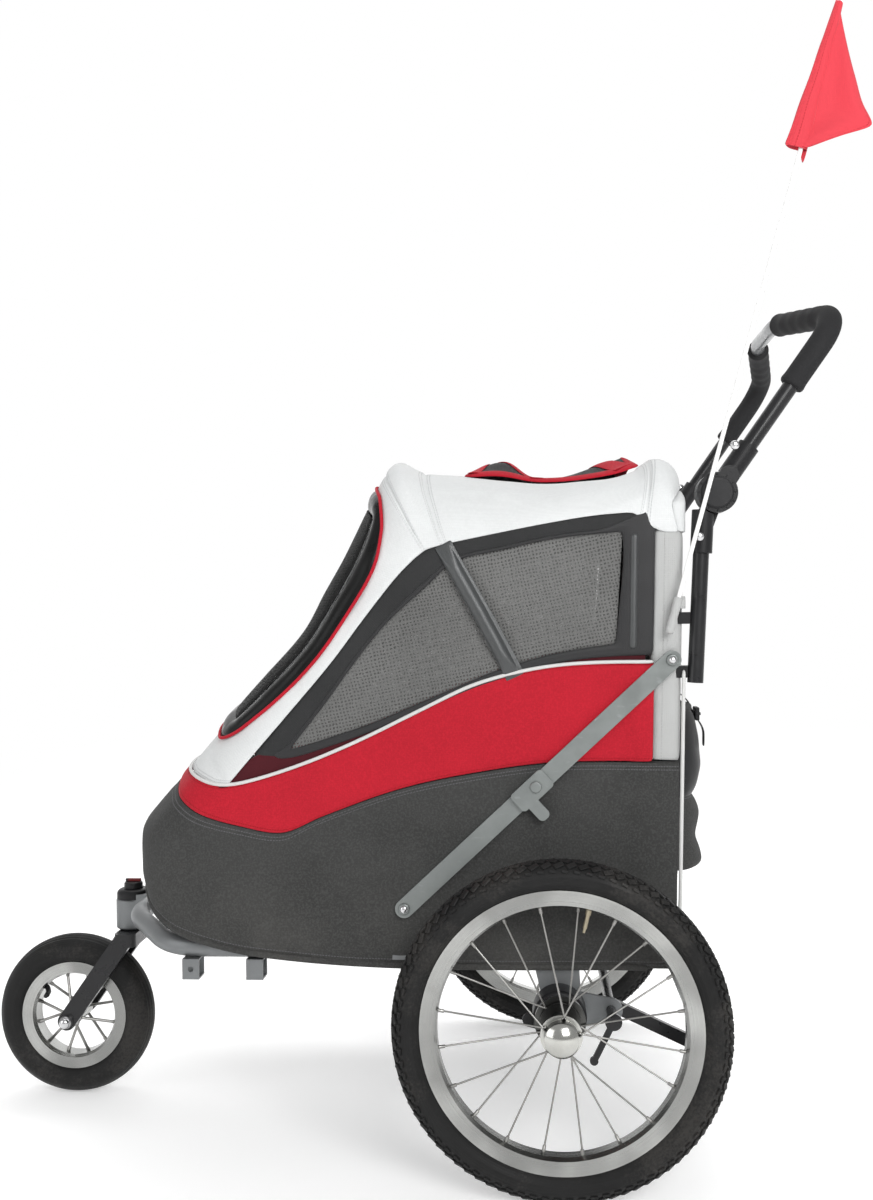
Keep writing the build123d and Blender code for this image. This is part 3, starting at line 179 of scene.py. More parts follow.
def shoulder_key(y):
    """Running length of the shoulder's section at a distance from the middle."""
    low, high = 0.0, shoulder.end
    for _ in range(30):
        half = (low + high) / 2
        low, high = (half, high) if shoulder(half)[0] < y else (low, half)
    return low


START_KEY = shoulder_key(SHOULDER_START)


def canopy_place(u, y, below=0.0):
    """Point of the canopy's cloth: u runs back along the middle, y is across, below is past the start."""
    middle, end, side = canopy_middle(u), canopy_end(u), 1 if y >= 0 else -1
    if below <= 0:
        out, share = abs(y), shoulder_share(abs(y))[0]
        point = middle + (end - middle) * share
    else:
        edge = canopy_edge(u)
        arc, drop = shoulder.end - START_KEY, (edge - end).length
        run = below * (arc + drop)
        if run < arc:
            out, deep = shoulder(START_KEY + run)
            point = middle + (end - middle) * deep / 102
        else:
            out, point = 240.0, end + (edge - end) * (run - arc) / max(drop, 0.01)
    return Vector((point[0], side * min(out, 240.0), point[1]))


def canopy_skin(u, y, lift=0.0):
    """Point over the canopy's cloth at (u, y), lifted off it by so many millimetres."""
    point = canopy_place(u, y)
    back = canopy_place(u + 2, y) - canopy_place(u - 2, y)
    across = canopy_place(u, y + 2) - canopy_place(u, y - 2)
    return point + across.cross(back).normalized() * -lift


def canopy_key(x):
    """u where the canopy's middle line passes a given X."""
    u = 0.0
    while canopy_middle(u)[0] < x:
        u += 1.0
    return u


def leaning_x(x, z):
    """Where a point of the tub's front ends up once the front leans back above the knee."""
    over = z - 408
    return x + 0.8678 * (0.5 * (over + (over * over + 64) ** 0.5) if over > -60 else 0)


def tub_place(s, z, back=-20.0):
    """Point of the tub's wall: s is 0 at the nose, up to 1 at the corner and 2 at the rear, signed."""
    side, s = (1 if s >= 0 else -1), abs(s)
    if s <= 1:
        x, y = plan(s * plan.end)
    else:
        x, y = -238.0, 240.0
    x = leaning_x(x, z)
    if s > 1:
        x += (HINGE.x + (z - HINGE.z) * LEAN + back - x) * (s - 1)
        y += 3.4 * ease((x - 285) / 22)
    return Vector((x, side * y, z))


def on_line(s, line, back=-20.0):
    """Height at which the tub's column s meets a sewn line."""
    z = line(tub_place(s, 450, back)[0])
    for _ in range(12):
        z = line(tub_place(s, z, back)[0])
    return z


def on_back(height, behind=0.0, across=0.0):
    """Point on the back frame, in its leaning plane: up from its hinge, behind it, and across."""
    tilt = radians(1.8)
    return Vector((HINGE.x + height * sin(tilt) + behind * cos(tilt), across,
                   HINGE.z + height * cos(tilt) - behind * sin(tilt)))


# Where the front window and the roof hatch start and end along the canopy's middle line
WINDOW_FOOT, WINDOW_HEAD, HATCH_FRONT, HATCH_REAR = (canopy_key(x) for x in (-229.0, -24.5, 92, 325))
SILL_LINE = height_line([(-210, 452), (-192, 470), (-160, 502), (-117, 504), (-60, 520), (-4, 540), (55, 565),
                         (140, 599), (195, 614), (250, 621), (320, 623)])


def rear_axle(side):
    return Vector((205, side * 300, 195))


# ---------------------------------------------------------------- settings
def share_of(name, text, default):
    return FloatProperty(name=name, description=text, default=default, min=0, max=1, subtype="FACTOR")


def length_of(name, text, millimetres):
    return FloatProperty(name=name, description=text, default=millimetres * MM, min=0, precision=4,
                         unit="LENGTH", subtype="DISTANCE")


def colour_of(name, text, rgb):
    return FloatVectorProperty(name=name, description=text, default=rgb, size=3, min=0, max=1,
                               subtype="COLOR")


class StrollerCloth(PropertyGroup):
    light: colour_of("Light cloth", "Canopy, sleeves and upper door", (0.63, 0.643, 0.643))
    sleeve: colour_of("Sleeve cloth", "Sleeves, header and the rear door's border", (0.42, 0.425, 0.42))
    red: colour_of("Red cloth", "Band round the tub", (0.392, 0.0118, 0.0235))
    charcoal: colour_of("Charcoal cloth", "Tub, bag and lower door", (0.043, 0.0433, 0.0423))
    binding: colour_of("Binding", "Wide tape round the side windows", (0.029, 0.0295, 0.03))
    piping: colour_of("Piping", "Round piping between the red band and the windows", (0.60, 0.60, 0.59))
    # Sill colour: the red cloth below the side windows, darkened to maroon as painted shade of its recess
    # behind the piping
    shaded_sill: colour_of("Sill", "Cloth below the front of the side windows", (0.055, 0.003, 0.007))
    wall: length_of("Cloth wall", "Thickness of the cloth", 1.6)
    piping_radius: length_of("Piping radius", "Radius of the round piping", 2.4)
    slack: FloatProperty(name="Slack", description="How deep the cloth's waves and creases are", default=1.0,
                         min=0, max=2)
    keep: share_of("Folded height", "Share of its height that the cloth keeps when the frame folds", 0.16)


class StrollerWindows(PropertyGroup):
    hole: length_of("Net hole", "Spacing of the netting's threads", 4.3)
    threads: share_of("Thread share", "Share of that spacing which is thread", 0.50)
    net: colour_of("Netting", "Colour of the netting", (0.125, 0.125, 0.122))
    front_border: length_of("Front binding", "Width of the binding round the front window", 34)
    front_half_width: length_of("Front half width",
                                "Half the front window's ends, measured round the shoulder", 227)
    front_corner: length_of("Front corner", "Radius of the front window's corners", 36)
    hatch_half_width: length_of("Hatch half width", "Half the width of the roof hatch", 118)
    hatch_border: length_of("Hatch edging", "Width of the hatch's red edging", 17)
    hatch_rise: length_of("Hatch rise", "How far the hatch's two lobes stand up", 21)


class StrollerWheels(PropertyGroup):
    rubber: colour_of("Rubber", "Tyres", (0.0105, 0.0105, 0.0105))
    rear_radius: length_of("Rear radius", "Over the blocks of the rear tyre's tread", 195)
    blocks: IntProperty(name="Tread blocks", description="Blocks in each row round a rear tyre", default=84,
                        min=20)
    block_height: length_of("Block height", "How far the rear tread stands up", 2.2)
    rim: colour_of("Rims", "Aluminium rims", (0.43, 0.433, 0.42))
    spokes: IntProperty(name="Spokes", description="Spokes in each rear wheel", default=20, min=8)
    spoke_radius: length_of("Spoke radius", "Radius of a rear spoke", 1.1)


class StrollerFrame(PropertyGroup):
    grey: colour_of("Grey paint", "Base frame and brackets", (0.185, 0.193, 0.197))
    brace: colour_of("Brace paint", "Folding braces", (0.20, 0.215, 0.21))
    black: colour_of("Black paint", "Back frame, handle and fork", (0.012, 0.012, 0.013))
    plastic: colour_of("Black plastic", "Hinges, clamps and caps", (0.014, 0.014, 0.015))
    foam: colour_of("Foam", "Handle grips", (0.018, 0.018, 0.019))
    knob: colour_of("Knob", "Swivel lock knob", (0.16, 0.012, 0.012))


class StrollerStudio(PropertyGroup):
    floor: colour_of("Floor", "Floor and backdrop", (0.80, 0.80, 0.80))
    floor_glow: FloatProperty(name="Floor glow", description="Light the floor gives off, as a lit table does",
                              default=0.34, min=0)
    key_power: FloatProperty(name="Key light", description="Power of the main soft light", default=66.0,
                             min=0, unit="POWER")
    fill_power: FloatProperty(name="Fill light", description="Power of the soft light on the other side",
                              default=20.0, min=0, unit="POWER")
    world: FloatProperty(name="Surround", description="Strength of the even light all round", default=0.43,
                         min=0)
    lens: FloatProperty(name="Lens", description="Focal length on a 36 mm sensor", default=36.38, min=10,
                        unit="CAMERA", subtype="DISTANCE")


GROUPS = {"stroller_cloth": StrollerCloth, "stroller_windows": StrollerWindows,
          "stroller_wheels": StrollerWheels, "stroller_frame": StrollerFrame,
          "stroller_studio": StrollerStudio}


# ---------------------------------------------------------------- finishes by name
def light_cloth(cloth, stitches=()):
    return woven("Light cloth" + " sewn" * bool(stitches), cloth.light, uneven=0.045, sheen=0.05,
                 heather=0.05, roughness=0.8, stitches=stitches, stitch_rgb=(0.46, 0.47, 0.475),
                 wrinkle=0.0007)


def sleeve_cloth(cloth):
    return woven("Sleeve cloth", cloth.sleeve, uneven=0.04, sheen=0.1, roughness=0.8, stitches=(4.0,),
                 stitch_rgb=(0.36, 0.365, 0.36), wrinkle=0.0008)


def charcoal_cloth(cloth, stitches=()):
    return woven("Charcoal cloth" + " sewn" * bool(stitches), cloth.charcoal, uneven=0.16, sheen=0.04,
                 heather=0.32, stitches=stitches, stitch_rgb=(0.10, 0.10, 0.105), stain=0.05,
                 wrinkle=0.0012, spec=0.12)


def red_cloth(cloth, stitches=()):
    return woven("Red cloth" + " sewn" * bool(stitches), cloth.red, uneven=0.08, sheen=0.03, heather=0.16,
                 spec=0.12, roughness=0.78, stitches=stitches, stitch_rgb=(0.30, 0.008, 0.014),
                 wrinkle=0.0007)


def binding_tape(cloth):
    return woven("Binding tape", cloth.binding, thread=1.6, weave_depth=0.0002, uneven=0.14, sheen=0.04,
                 spec=0.12, roughness=0.72)


def black_tape():
    return woven("Black tape", (0.012, 0.012, 0.013), thread=1.4, roughness=0.55, spec=0.4)


def piping_cord(cloth):
    return woven("Piping", cloth.piping, thread=0.8, uneven=0.04, sheen=0.1)


def grey_paint(frame_set):
    return coated("Grey powder coat", frame_set.grey, roughness=0.42, metallic=0.55, grain=0.12, pebble=0.7)


def black_paint(frame_set):
    return coated("Black gloss paint", frame_set.black, roughness=0.3, coat=0.12, scuff=0.5, spec=0.3)


def black_plastic(frame_set):
    return coated("Black plastic", frame_set.plastic, roughness=0.42, grain=0.3, pebble=0.9, scuff=0.4,
                  spec=0.22)


def spoke_steel():
    return brushed("Spoke steel", (0.36, 0.355, 0.34), roughness=0.38, depth=0.1, streak=500.0)


def zinc():
    return brushed("Zinc plate", (0.60, 0.60, 0.61), roughness=0.32, depth=0.15, streak=300.0)


def bright_steel():
    return brushed("Bright steel", (0.72, 0.72, 0.73), roughness=0.2, depth=0.1, streak=500.0)


# ---------------------------------------------------------------- making pieces
def fresh():
    return bmesh.new()


def in_scene(name, data):
    """A new object in the scene."""
    piece = bpy.data.objects.new(name, data)
    bpy.context.scene.collection.objects.link(piece)
    return piece


def mesh_of(name, made, scale=MM, smooth=True):
    """Turns a bmesh into a mesh, in metres."""
    bmesh.ops.scale(made, vec=(scale,) * 3, verts=made.verts)
    mesh = bpy.data.meshes.new(name)
    made.to_mesh(mesh)
    made.free()
    for face in mesh.polygons:
        face.use_smooth = smooth
    return mesh


def place_piece(name, made, finish, body, stands_for=(), slot=None, smooth=True):
    """Turns a bmesh drawn in millimetres into a finished piece that rides on a body of the frame."""
    piece = in_scene(name, mesh_of(name, made, smooth=smooth))
    piece.data.materials.append(finish)
    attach(piece, body)
    if stands_for:
        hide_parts(stands_for)
    return piece


def subdivided(piece):
    change = piece.modifiers.new("Subdivision", "SUBSURF")
    change.levels = change.render_levels = 1
    return piece


def sewn_piece(name, made, finish, slot, stands_for=(), body=CABIN, wall=None, fine=True, offset=-1.0):
    """A cloth piece, thick by so many millimetres, that rides on a body of the frame."""
    cloth = bpy.context.scene.stroller_cloth
    wall = cloth.wall if wall is None else wall * MM
    piece = place_piece(name, made, finish, body, stands_for, slot)
    if wall:
        change = piece.modifiers.new("Solidify", "SOLIDIFY")
        change.thickness, change.offset, change.use_even_offset = wall, offset, False
    if fine:
        subdivided(piece)
    if body in (CABIN, "front_flap"):
        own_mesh(piece)
    return piece


def joined(whole, build, *given):
    """Adds what build(part, *given) draws in a bmesh of its own."""
    part = fresh()
    build(part, *given)
    mesh = mesh_of("part", part, 1.0)
    whole.from_mesh(mesh)
    bpy.data.meshes.remove(mesh)


def on_both_sides(*builds):
    """A bmesh with what each build(part, side) draws, first on the left and then on the right."""
    made = fresh()
    for _, side in SIDES:
        for build in builds:
            joined(made, build, side)
    return made


def outward(made):
    bmesh.ops.remove_doubles(made, verts=made.verts, dist=0.001)
    bmesh.ops.recalc_face_normals(made, faces=made.faces)


def facing(made, toward):
    """Turns an open sheet's faces so that most look along a direction, which may be a function of a face."""
    made.normal_update()
    way = toward if callable(toward) else (lambda face: Vector(toward))
    if sum(face.normal.dot(way(face)) * face.calc_area() for face in made.faces) < 0:
        bmesh.ops.reverse_faces(made, faces=made.faces)
    made.normal_update()


def away_from(*place):
    """Direction, for facing, that leads away from a point."""
    return lambda face: face.calc_center_median() - Vector(place)


def cloth_grid(made, columns, rows, place, along=None, toward=None, closed=False):
    """A sheet of columns x rows nodes, each moved to place(column, row); UV is along and from the edge."""
    uv = made.loops.layers.uv.new("UVMap")
    grid = bmesh.ops.create_grid(made, x_segments=columns - 1, y_segments=rows - 1, size=0.5, calc_uvs=True)
    node = {(round((vert.co.x + 0.5) * (columns - 1)), round((vert.co.y + 0.5) * (rows - 1))): vert
            for vert in grid["verts"]}
    sewn = along or (lambda i, j: (i * 10.0, j * 10.0))
    for (i, j), vert in node.items():
        vert.co = place(i, j)
    where = {vert: Vector(sewn(i, j)) * MM for (i, j), vert in node.items()}
    for face in made.faces:
        for loop in face.loops:
            loop[uv].uv = where[loop.vert]
    if closed:
        bmesh.ops.remove_doubles(made, verts=made.verts, dist=0.01)
    if toward:
        facing(made, toward)
    return node


def sheet(*given, **more):
    made = fresh()
    cloth_grid(made, *given, **more)
    return made


def ruffled(made, lift, keys=None):
    """Moves each vertex along its normal by lift(point), in millimetres; keys may give it more to go by."""
    made.normal_update()
    moves = [(vert, vert.normal * lift(vert.co, *(keys[vert] if keys else ()))) for vert in made.verts]
    for vert, move in moves:
        vert.co += move


def rough(point, size, seed=0.0):
    """Soft noise from -1 to 1 whose lumps are about so many millimetres across."""
    return noise.noise(Vector((point.x + seed * 531, point.y + seed * 127, point.z)) / size)


def creases(point, folds):
    """Height of soft folds along lines in the side view; each is (start, end, width, depth) and fades out."""
    total = 0.0
    for start, end, width, depth in folds:
        line = Vector(end) - Vector(start)
        off = Vector((point.x, point.z)) - Vector(start)
        t = off.dot(line) / line.length_squared
        if 0 < t < 1:
            far = (off - line * t).length / width
            total += depth * exp(-far * far) * ease(4 * t * (1 - t))
    return total


def spun(made, outline, steps, closed=False):
    """Spins a section of (radius, distance along Y) once about the Y axis."""
    verts = [made.verts.new((radius, across, 0)) for radius, across in outline]
    edges = [made.edges.new(pair) for pair in zip(verts, verts[1:] + verts[:closed])]
    bmesh.ops.spin(made, geom=verts + edges, cent=(0, 0, 0), axis=(0, 1, 0), dvec=(0, 0, 0), angle=2 * pi,
                   steps=steps, use_merge=True)


def tyre_ring(made, half, steps, axle):
    """A tyre about its axle: half of its section is mirrored and spun."""
    spun(made, half + [(r, -y) for r, y in reversed(half[:-1])], steps, closed=True)
    outward(made)
    bmesh.ops.translate(made, vec=axle, verts=made.verts)


def lathe(made, outline, at, steps=48):
    """A solid turned about Y: outline runs from one end of the axle to the other as (along, radius)."""
    before = set(made.verts)
    spun(made, [(radius, along) for along, radius in outline], steps)
    bmesh.ops.remove_doubles(made, verts=[vert for vert in made.verts if vert not in before], dist=0.001)
    new = [vert for vert in made.verts if vert not in before]
    faces = list(dict.fromkeys(face for vert in new for face in vert.link_faces))
    bmesh.ops.recalc_face_normals(made, faces=faces)
    bmesh.ops.translate(made, vec=at, verts=new)


def block(made, at, size, turn=None, edge=0.0, segments=2):
    """A box whose edges are rounded."""
    matrix = Matrix.Translation(at) @ (turn or Matrix.Identity(4)) @ Matrix.Diagonal((*size, 1))
    verts = bmesh.ops.create_cube(made, size=1.0, matrix=matrix)["verts"]
    rounded(made, edges_of(verts), edge, segments)


def edges_of(verts):
    return list(dict.fromkeys(edge for vert in verts for edge in vert.link_edges))


def rounded(made, edges, width, segments=1):
    bmesh.ops.bevel(made, geom=edges, offset=width, offset_type="OFFSET", segments=segments,
                    profile=0.5, affect="EDGES", clamp_overlap=True, material=-1)


def tube_along(made, points, radius, sides=12, closed=False, flat=1.0, up=None):
    """A tube along points: a ring at the start, extruded from point to point. radius may be a function."""
    points = [Vector(p) for p in points]
    count = len(points)
    size = radius if callable(radius) else (lambda t: radius)
    rings, side_way = [], None
    for i, point in enumerate(points):
        ahead = points[(i + 1) % count] if closed or i + 1 < count else point
        behind = points[i - 1] if closed or i > 0 else point
        way = (ahead - behind).normalized()
        if side_way is None:
            guide = Vector(up or ((0, 0, 1) if abs(way.z) < 0.8 else (0, 1, 0)))
            side_way = way.cross(guide).normalized()
        side_way = (side_way - way * side_way.dot(way)).normalized()
        top = side_way.cross(way)
        r = size(i / max(count - 1, 1))
        rings.append([point + (side_way * cos(a) * r + top * sin(a) * r * flat)
                      for a in (2 * pi * k / sides for k in range(sides))])
    last = bmesh.ops.create_circle(made, cap_ends=False, segments=sides, radius=1.0)["verts"]
    for vert, where in zip(last, rings[0]):
        vert.co = where
    first = edges = edges_of(last)
    for ring in rings[1:]:
        grown = bmesh.ops.extrude_edge_only(made, edges=edges)["geom"]
        new = {g for g in grown if isinstance(g, bmesh.types.BMVert)}
        edges = [g for g in grown if isinstance(g, bmesh.types.BMEdge) and new.issuperset(g.verts)]
        last = [next(e.other_vert(vert) for e in vert.link_edges if e.other_vert(vert) in new)
                for vert in last]
        for vert, where in zip(last, ring):
            vert.co = where
    if closed:
        bmesh.ops.bridge_loops(made, edges=first + edges)
    else:
        for loop in (first, edges):
            bmesh.ops.holes_fill(made, edges=loop, sides=sides + 1)


def dome(made, at, radius, height, side):
    """A rounded bolt or rivet head on a face that looks along Y to one side."""
    slope = [(height * cos(a), radius * sin(a)) for a in (0.35, 0.75, 1.1, 1.4)]
    outline = [(height, 0.0)] + slope + [(0.0, radius), (0.0, 0.0)]
    lathe(made, [(side * h, r) for h, r in outline], at, 24)


# ---------------------------------------------------------------- shader effects
def wire(tree, kind, inputs=(), **settings):
    """Adds a node, sets its properties, and fills its inputs with values or with links."""
    made = tree.nodes.new("ShaderNode" + kind)
    for key, value in settings.items():
        setattr(made, key, value)
    for key, value in dict(inputs).items():
        if isinstance(value, bpy.types.NodeSocket):
            tree.links.new(value, made.inputs[key])
        else:
            made.inputs[key].default_value = value
    return made


def calc(tree, operation, *values):
    return wire(tree, "Math", enumerate(values), operation=operation).outputs[0]


def coordinate(tree, place, axis):
    return wire(tree, "SeparateXYZ", {0: place}).outputs[axis]


def clouds(tree, place, scale, detail, roughness=0.5):
    return wire(tree, "TexNoise", {"Vector": place, "Scale": scale, "Detail": detail,
                                   "Roughness": roughness}).outputs[0]


def remap(tree, value, low, high, to_low=0.0, to_high=1.0):
    """A value brought from one range to another, smoothly and without overshoot."""
    return wire(tree, "MapRange", {0: value, 1: low, 2: high, 3: to_low, 4: to_high},
                interpolation_type="SMOOTHSTEP").outputs[0]


def blend_colours(tree, share, first, second):
    return wire(tree, "Mix", {0: share, 6: first, 7: second}, data_type="RGBA").outputs[2]


def effect(name, takes, gives):
    """An empty node group with those inputs and outputs; returns it with its inner sockets."""
    tree = bpy.data.node_groups.new(name, "ShaderNodeTree")
    for label, kind, value in takes:
        socket = tree.interface.new_socket(label, in_out="INPUT", socket_type="NodeSocket" + kind)
        if value is not None:
            socket.default_value = value
    for label, kind in gives:
        tree.interface.new_socket(label, in_out="OUTPUT", socket_type="NodeSocket" + kind)
    return tree, tree.nodes.new("NodeGroupInput").outputs, tree.nodes.new("NodeGroupOutput").inputs


def weave_effect():
    """Plain weave: threads that pass over and under each other on every face direction."""
    tree, takes, gives = effect("Plain weave", [("Place", "Vector", None), ("Thread", "Float", 0.001)],
                                [("Height", "Float")])
    split = wire(tree, "SeparateXYZ", {0: takes["Place"]})
    turns = calc(tree, "DIVIDE", pi, takes["Thread"])
    waves = [calc(tree, "SINE", calc(tree, "MULTIPLY", split.outputs[i], turns)) for i in range(3)]
    pairs = [calc(tree, "MULTIPLY", waves[a], waves[b]) for a, b in ((0, 2), (0, 1), (1, 2))]
    total = calc(tree, "ADD", calc(tree, "ADD", pairs[0], pairs[1]), pairs[2])
    tree.links.new(calc(tree, "MULTIPLY_ADD", total, 0.5, 0.5), gives["Height"])
    return tree


def mottle_effect():
    """Uneven shade: broad patches and a finer grain, as dye, handling and dust leave."""
    tree, takes, gives = effect("Uneven shade", [("Place", "Vector", None), ("Patch", "Float", 0.12),
                                                 ("Fine share", "Float", 0.35)],
                                [("Shade", "Float"), ("Fine", "Float")])
    broad = clouds(tree, takes["Place"], calc(tree, "DIVIDE", 1.0, takes["Patch"]), 3.0, 0.55)
    fine = clouds(tree, takes["Place"], calc(tree, "DIVIDE", 22.0, takes["Patch"]), 4.0, 0.7)
    shade = wire(tree, "Mix", {0: takes["Fine share"], 2: remap(tree, broad, 0.3, 0.7),
                               3: remap(tree, fine, 0.3, 0.7)}, data_type="FLOAT")
    tree.links.new(shade.outputs[0], gives["Shade"])
    tree.links.new(fine, gives["Fine"])
    return tree


def stitch_effect():
    """A row of stitches at a distance from the sewn edge, read from a UV that is (along, from the edge)."""
    tree, takes, gives = effect("Stitches", [("Sewn place", "Vector", None), ("Inset", "Float", 0.006),
                                             ("Length", "Float", 0.0034)], [("Mask", "Float")])
    split = wire(tree, "SeparateXYZ", {0: takes["Sewn place"]})
    near = calc(tree, "ABSOLUTE", calc(tree, "SUBTRACT", split.outputs[1], takes["Inset"]))
    row = remap(tree, near, 0.00035, 0.0007, 1.0, 0.0)
    dash = calc(tree, "FRACT", calc(tree, "DIVIDE", split.outputs[0], takes["Length"]))
    gap = remap(tree, calc(tree, "ABSOLUTE", calc(tree, "SUBTRACT", dash, 0.5)), 0.3, 0.4, 1.0, 0.0)
    tree.links.new(calc(tree, "MULTIPLY", row, gap), gives["Mask"])
    return tree


def net_effect():
    """Square netting in the plane of the first two coordinates: thread cover and height."""
    tree, takes, gives = effect("Netting", [("Place", "Vector", None), ("Hole", "Float", 0.0034),
                                            ("Thread share", "Float", 0.4)],
                                [("Cover", "Float"), ("Height", "Float")])
    split = wire(tree, "SeparateXYZ", {0: takes["Place"]})
    threads = []
    for i in (0, 1):
        phase = calc(tree, "FRACT", calc(tree, "DIVIDE", split.outputs[i], takes["Hole"]))
        off = calc(tree, "ABSOLUTE", calc(tree, "SUBTRACT", phase, 0.5))
        half = calc(tree, "MULTIPLY", takes["Thread share"], 0.5)
        threads.append(calc(tree, "SUBTRACT", 1.0, calc(tree, "DIVIDE", off, half)))
    height = calc(tree, "MAXIMUM", threads[0], threads[1])
    tree.links.new(calc(tree, "GREATER_THAN", height, 0.0), gives["Cover"])
    tree.links.new(calc(tree, "MAXIMUM", height, 0.0), gives["Height"])
    return tree


def wear_effect():
    """Fine scuffs and cloudy polish on paint, plastic and metal."""
    tree, takes, gives = effect("Handling wear", [("Place", "Vector", None), ("Scuff", "Float", 0.5)],
                                [("Polish", "Float"), ("Scuffs", "Float")])
    stretched = wire(tree, "Mapping", {0: takes["Place"], 3: (60.0, 420.0, 130.0)}).outputs[0]
    scuffs = calc(tree, "MULTIPLY", remap(tree, clouds(tree, stretched, 1.0, 2.0), 0.62, 0.74),
                  takes["Scuff"])
    tree.links.new(remap(tree, clouds(tree, takes["Place"], 26.0, 5.0, 0.62), 0.3, 0.7), gives["Polish"])
    tree.links.new(scuffs, gives["Scuffs"])
    return tree


def grain_effect():
    """Moulded grain: small shallow pebbles."""
    tree, takes, gives = effect("Moulded grain", [("Place", "Vector", None), ("Pebble", "Float", 0.0012)],
                                [("Height", "Float")])
    scale = calc(tree, "DIVIDE", 1.0, takes["Pebble"])
    cells = wire(tree, "TexVoronoi", {"Vector": takes["Place"], "Scale": scale}, feature="SMOOTH_F1")
    tree.links.new(cells.outputs["Distance"], gives["Height"])
    return tree


EFFECTS = {"weave": weave_effect, "mottle": mottle_effect, "stitch": stitch_effect, "net": net_effect,
           "wear": wear_effect, "grain": grain_effect}
made_effects, made_finishes = {}, {}


def use(tree, name, **inputs):
    """Places a shared effect in a material's tree, building it the first time."""
    if name not in made_effects:
        made_effects[name] = EFFECTS[name]()
    inputs = {key.replace("_", " "): value for key, value in inputs.items()}
    return wire(tree, "Group", inputs, node_tree=made_effects[name]).outputs


def colour(rgb, factor=1.0):
    return (*(min(channel * factor, 1.0) for channel in rgb), 1.0)


def bare_finish(name, **constants):
    """A new material: its tree, its shader and its object coordinates; constants go on the shader."""
    made = bpy.data.materials.new(name)
    made.use_nodes = True
    tree = made.node_tree
    tree.nodes.clear()
    shader = wire(tree, "BsdfPrincipled")
    for key, value in constants.items():
        shader.inputs[key.replace("_", " ")].default_value = value
    wire(tree, "OutputMaterial", {0: shader.outputs[0]})
    made_finishes[name] = made
    return made, tree, shader, wire(tree, "TexCoord").outputs


def dressed(tree, shader, heights, **looks):
    """Links looks into the shader's sockets; heights, each (socket, depth, strength), become its bumps."""
    for key, value in looks.items():
        tree.links.new(value, shader.inputs[key.replace("_", " ")])
    bump_inputs = {}
    for height, depth, strength in heights:
        bump_inputs.update({"Height": height, "Distance": depth, "Strength": strength})
        bump_inputs["Normal"] = wire(tree, "Bump", bump_inputs).outputs[0]
    tree.links.new(bump_inputs["Normal"], shader.inputs["Normal"])


def woven(name, rgb, thread=1.1, weave_depth=0.00012, uneven=0.12, sheen=0.15, roughness=0.85, stitches=(),
          stitch_rgb=None, stain=0.0, wrinkle=0.0006, spec=0.25, heather=0.0):
    """Woven cloth: weave, uneven dye, small puckers, and rows of stitches along its sewn edges."""
    if name in made_finishes:
        return made_finishes[name]
    made, tree, shader, coords = bare_finish(name, Roughness=roughness, Sheen_Weight=sheen,
                                             Sheen_Roughness=0.5, Specular_IOR_Level=spec)
    place = coords["Object"]
    height = use(tree, "weave", Place=place, Thread=thread * MM)["Height"]
    mottle = use(tree, "mottle", Place=place, Patch=0.11)
    base = blend_colours(tree, mottle["Shade"], colour(rgb, 1 - uneven), colour(rgb, 1 + uneven))
    threads = remap(tree, height, 0.0, 1.0, 0.0, 0.12)
    base = blend_colours(tree, threads, base, colour(rgb, 0.55))
    if heather:
        fleck = remap(tree, clouds(tree, place, 430.0, 2.0), 0.42, 0.66, 0.0, heather)
        base = blend_colours(tree, fleck, base, colour(rgb, 1.9))
    if stain:
        low = remap(tree, coordinate(tree, place, 2), 0.24, 0.40, stain, 0.0)
        dusty = calc(tree, "MULTIPLY", low, mottle["Shade"])
        base = blend_colours(tree, dusty, base, (0.30, 0.27, 0.23, 1.0))
    bumps = [(mottle["Fine"], wrinkle, 0.5), (height, weave_depth, 0.6)]
    for inset in stitches:
        mask = use(tree, "stitch", Sewn_place=coords["UV"], Inset=inset * MM)["Mask"]
        base = blend_colours(tree, mask, base, colour(stitch_rgb or rgb, 1.0 if stitch_rgb else 0.6))
        bumps.append((mask, 0.0004, 0.7))
    dressed(tree, shader, bumps, Base_Color=base)
    return made


def netting(name, rgb, plane, hole, share, stretch=1.0, tilt=0.0, veil=0.42):
    """Open mesh: see-through between its threads; plane is the pair of axes it lies along, tilt turns it."""
    made, tree, shader, coords = bare_finish(name, Roughness=0.65, Specular_IOR_Level=0.15)
    across = coordinate(tree, coords["Object"], plane[0])
    up = calc(tree, "MULTIPLY", coordinate(tree, coords["Object"], plane[1]), stretch)
    place = wire(tree, "CombineXYZ", {0: calc(tree, "MULTIPLY_ADD", up, tilt, across),
                                      1: calc(tree, "MULTIPLY_ADD", across, -tilt, up)}).outputs[0]
    drift = use(tree, "mottle", Place=place, Patch=0.22)
    shift = wire(tree, "CombineXYZ", {0: calc(tree, "MULTIPLY", drift["Shade"], hole * 1.4 * MM),
                                      1: calc(tree, "MULTIPLY", drift["Shade"], hole * MM)}).outputs[0]
    moved = wire(tree, "VectorMath", {0: place, 1: shift}, operation="ADD").outputs[0]
    net = use(tree, "net", Place=moved, Hole=hole * MM, Thread_share=share)
    dressed(tree, shader, [(net["Height"], 0.0002, 0.5)],
            Alpha=remap(tree, net["Cover"], 0.0, 1.0, veil, 1.0),
            Base_Color=blend_colours(tree, drift["Shade"], colour(rgb, 0.85), colour(rgb, 1.2)))
    return made


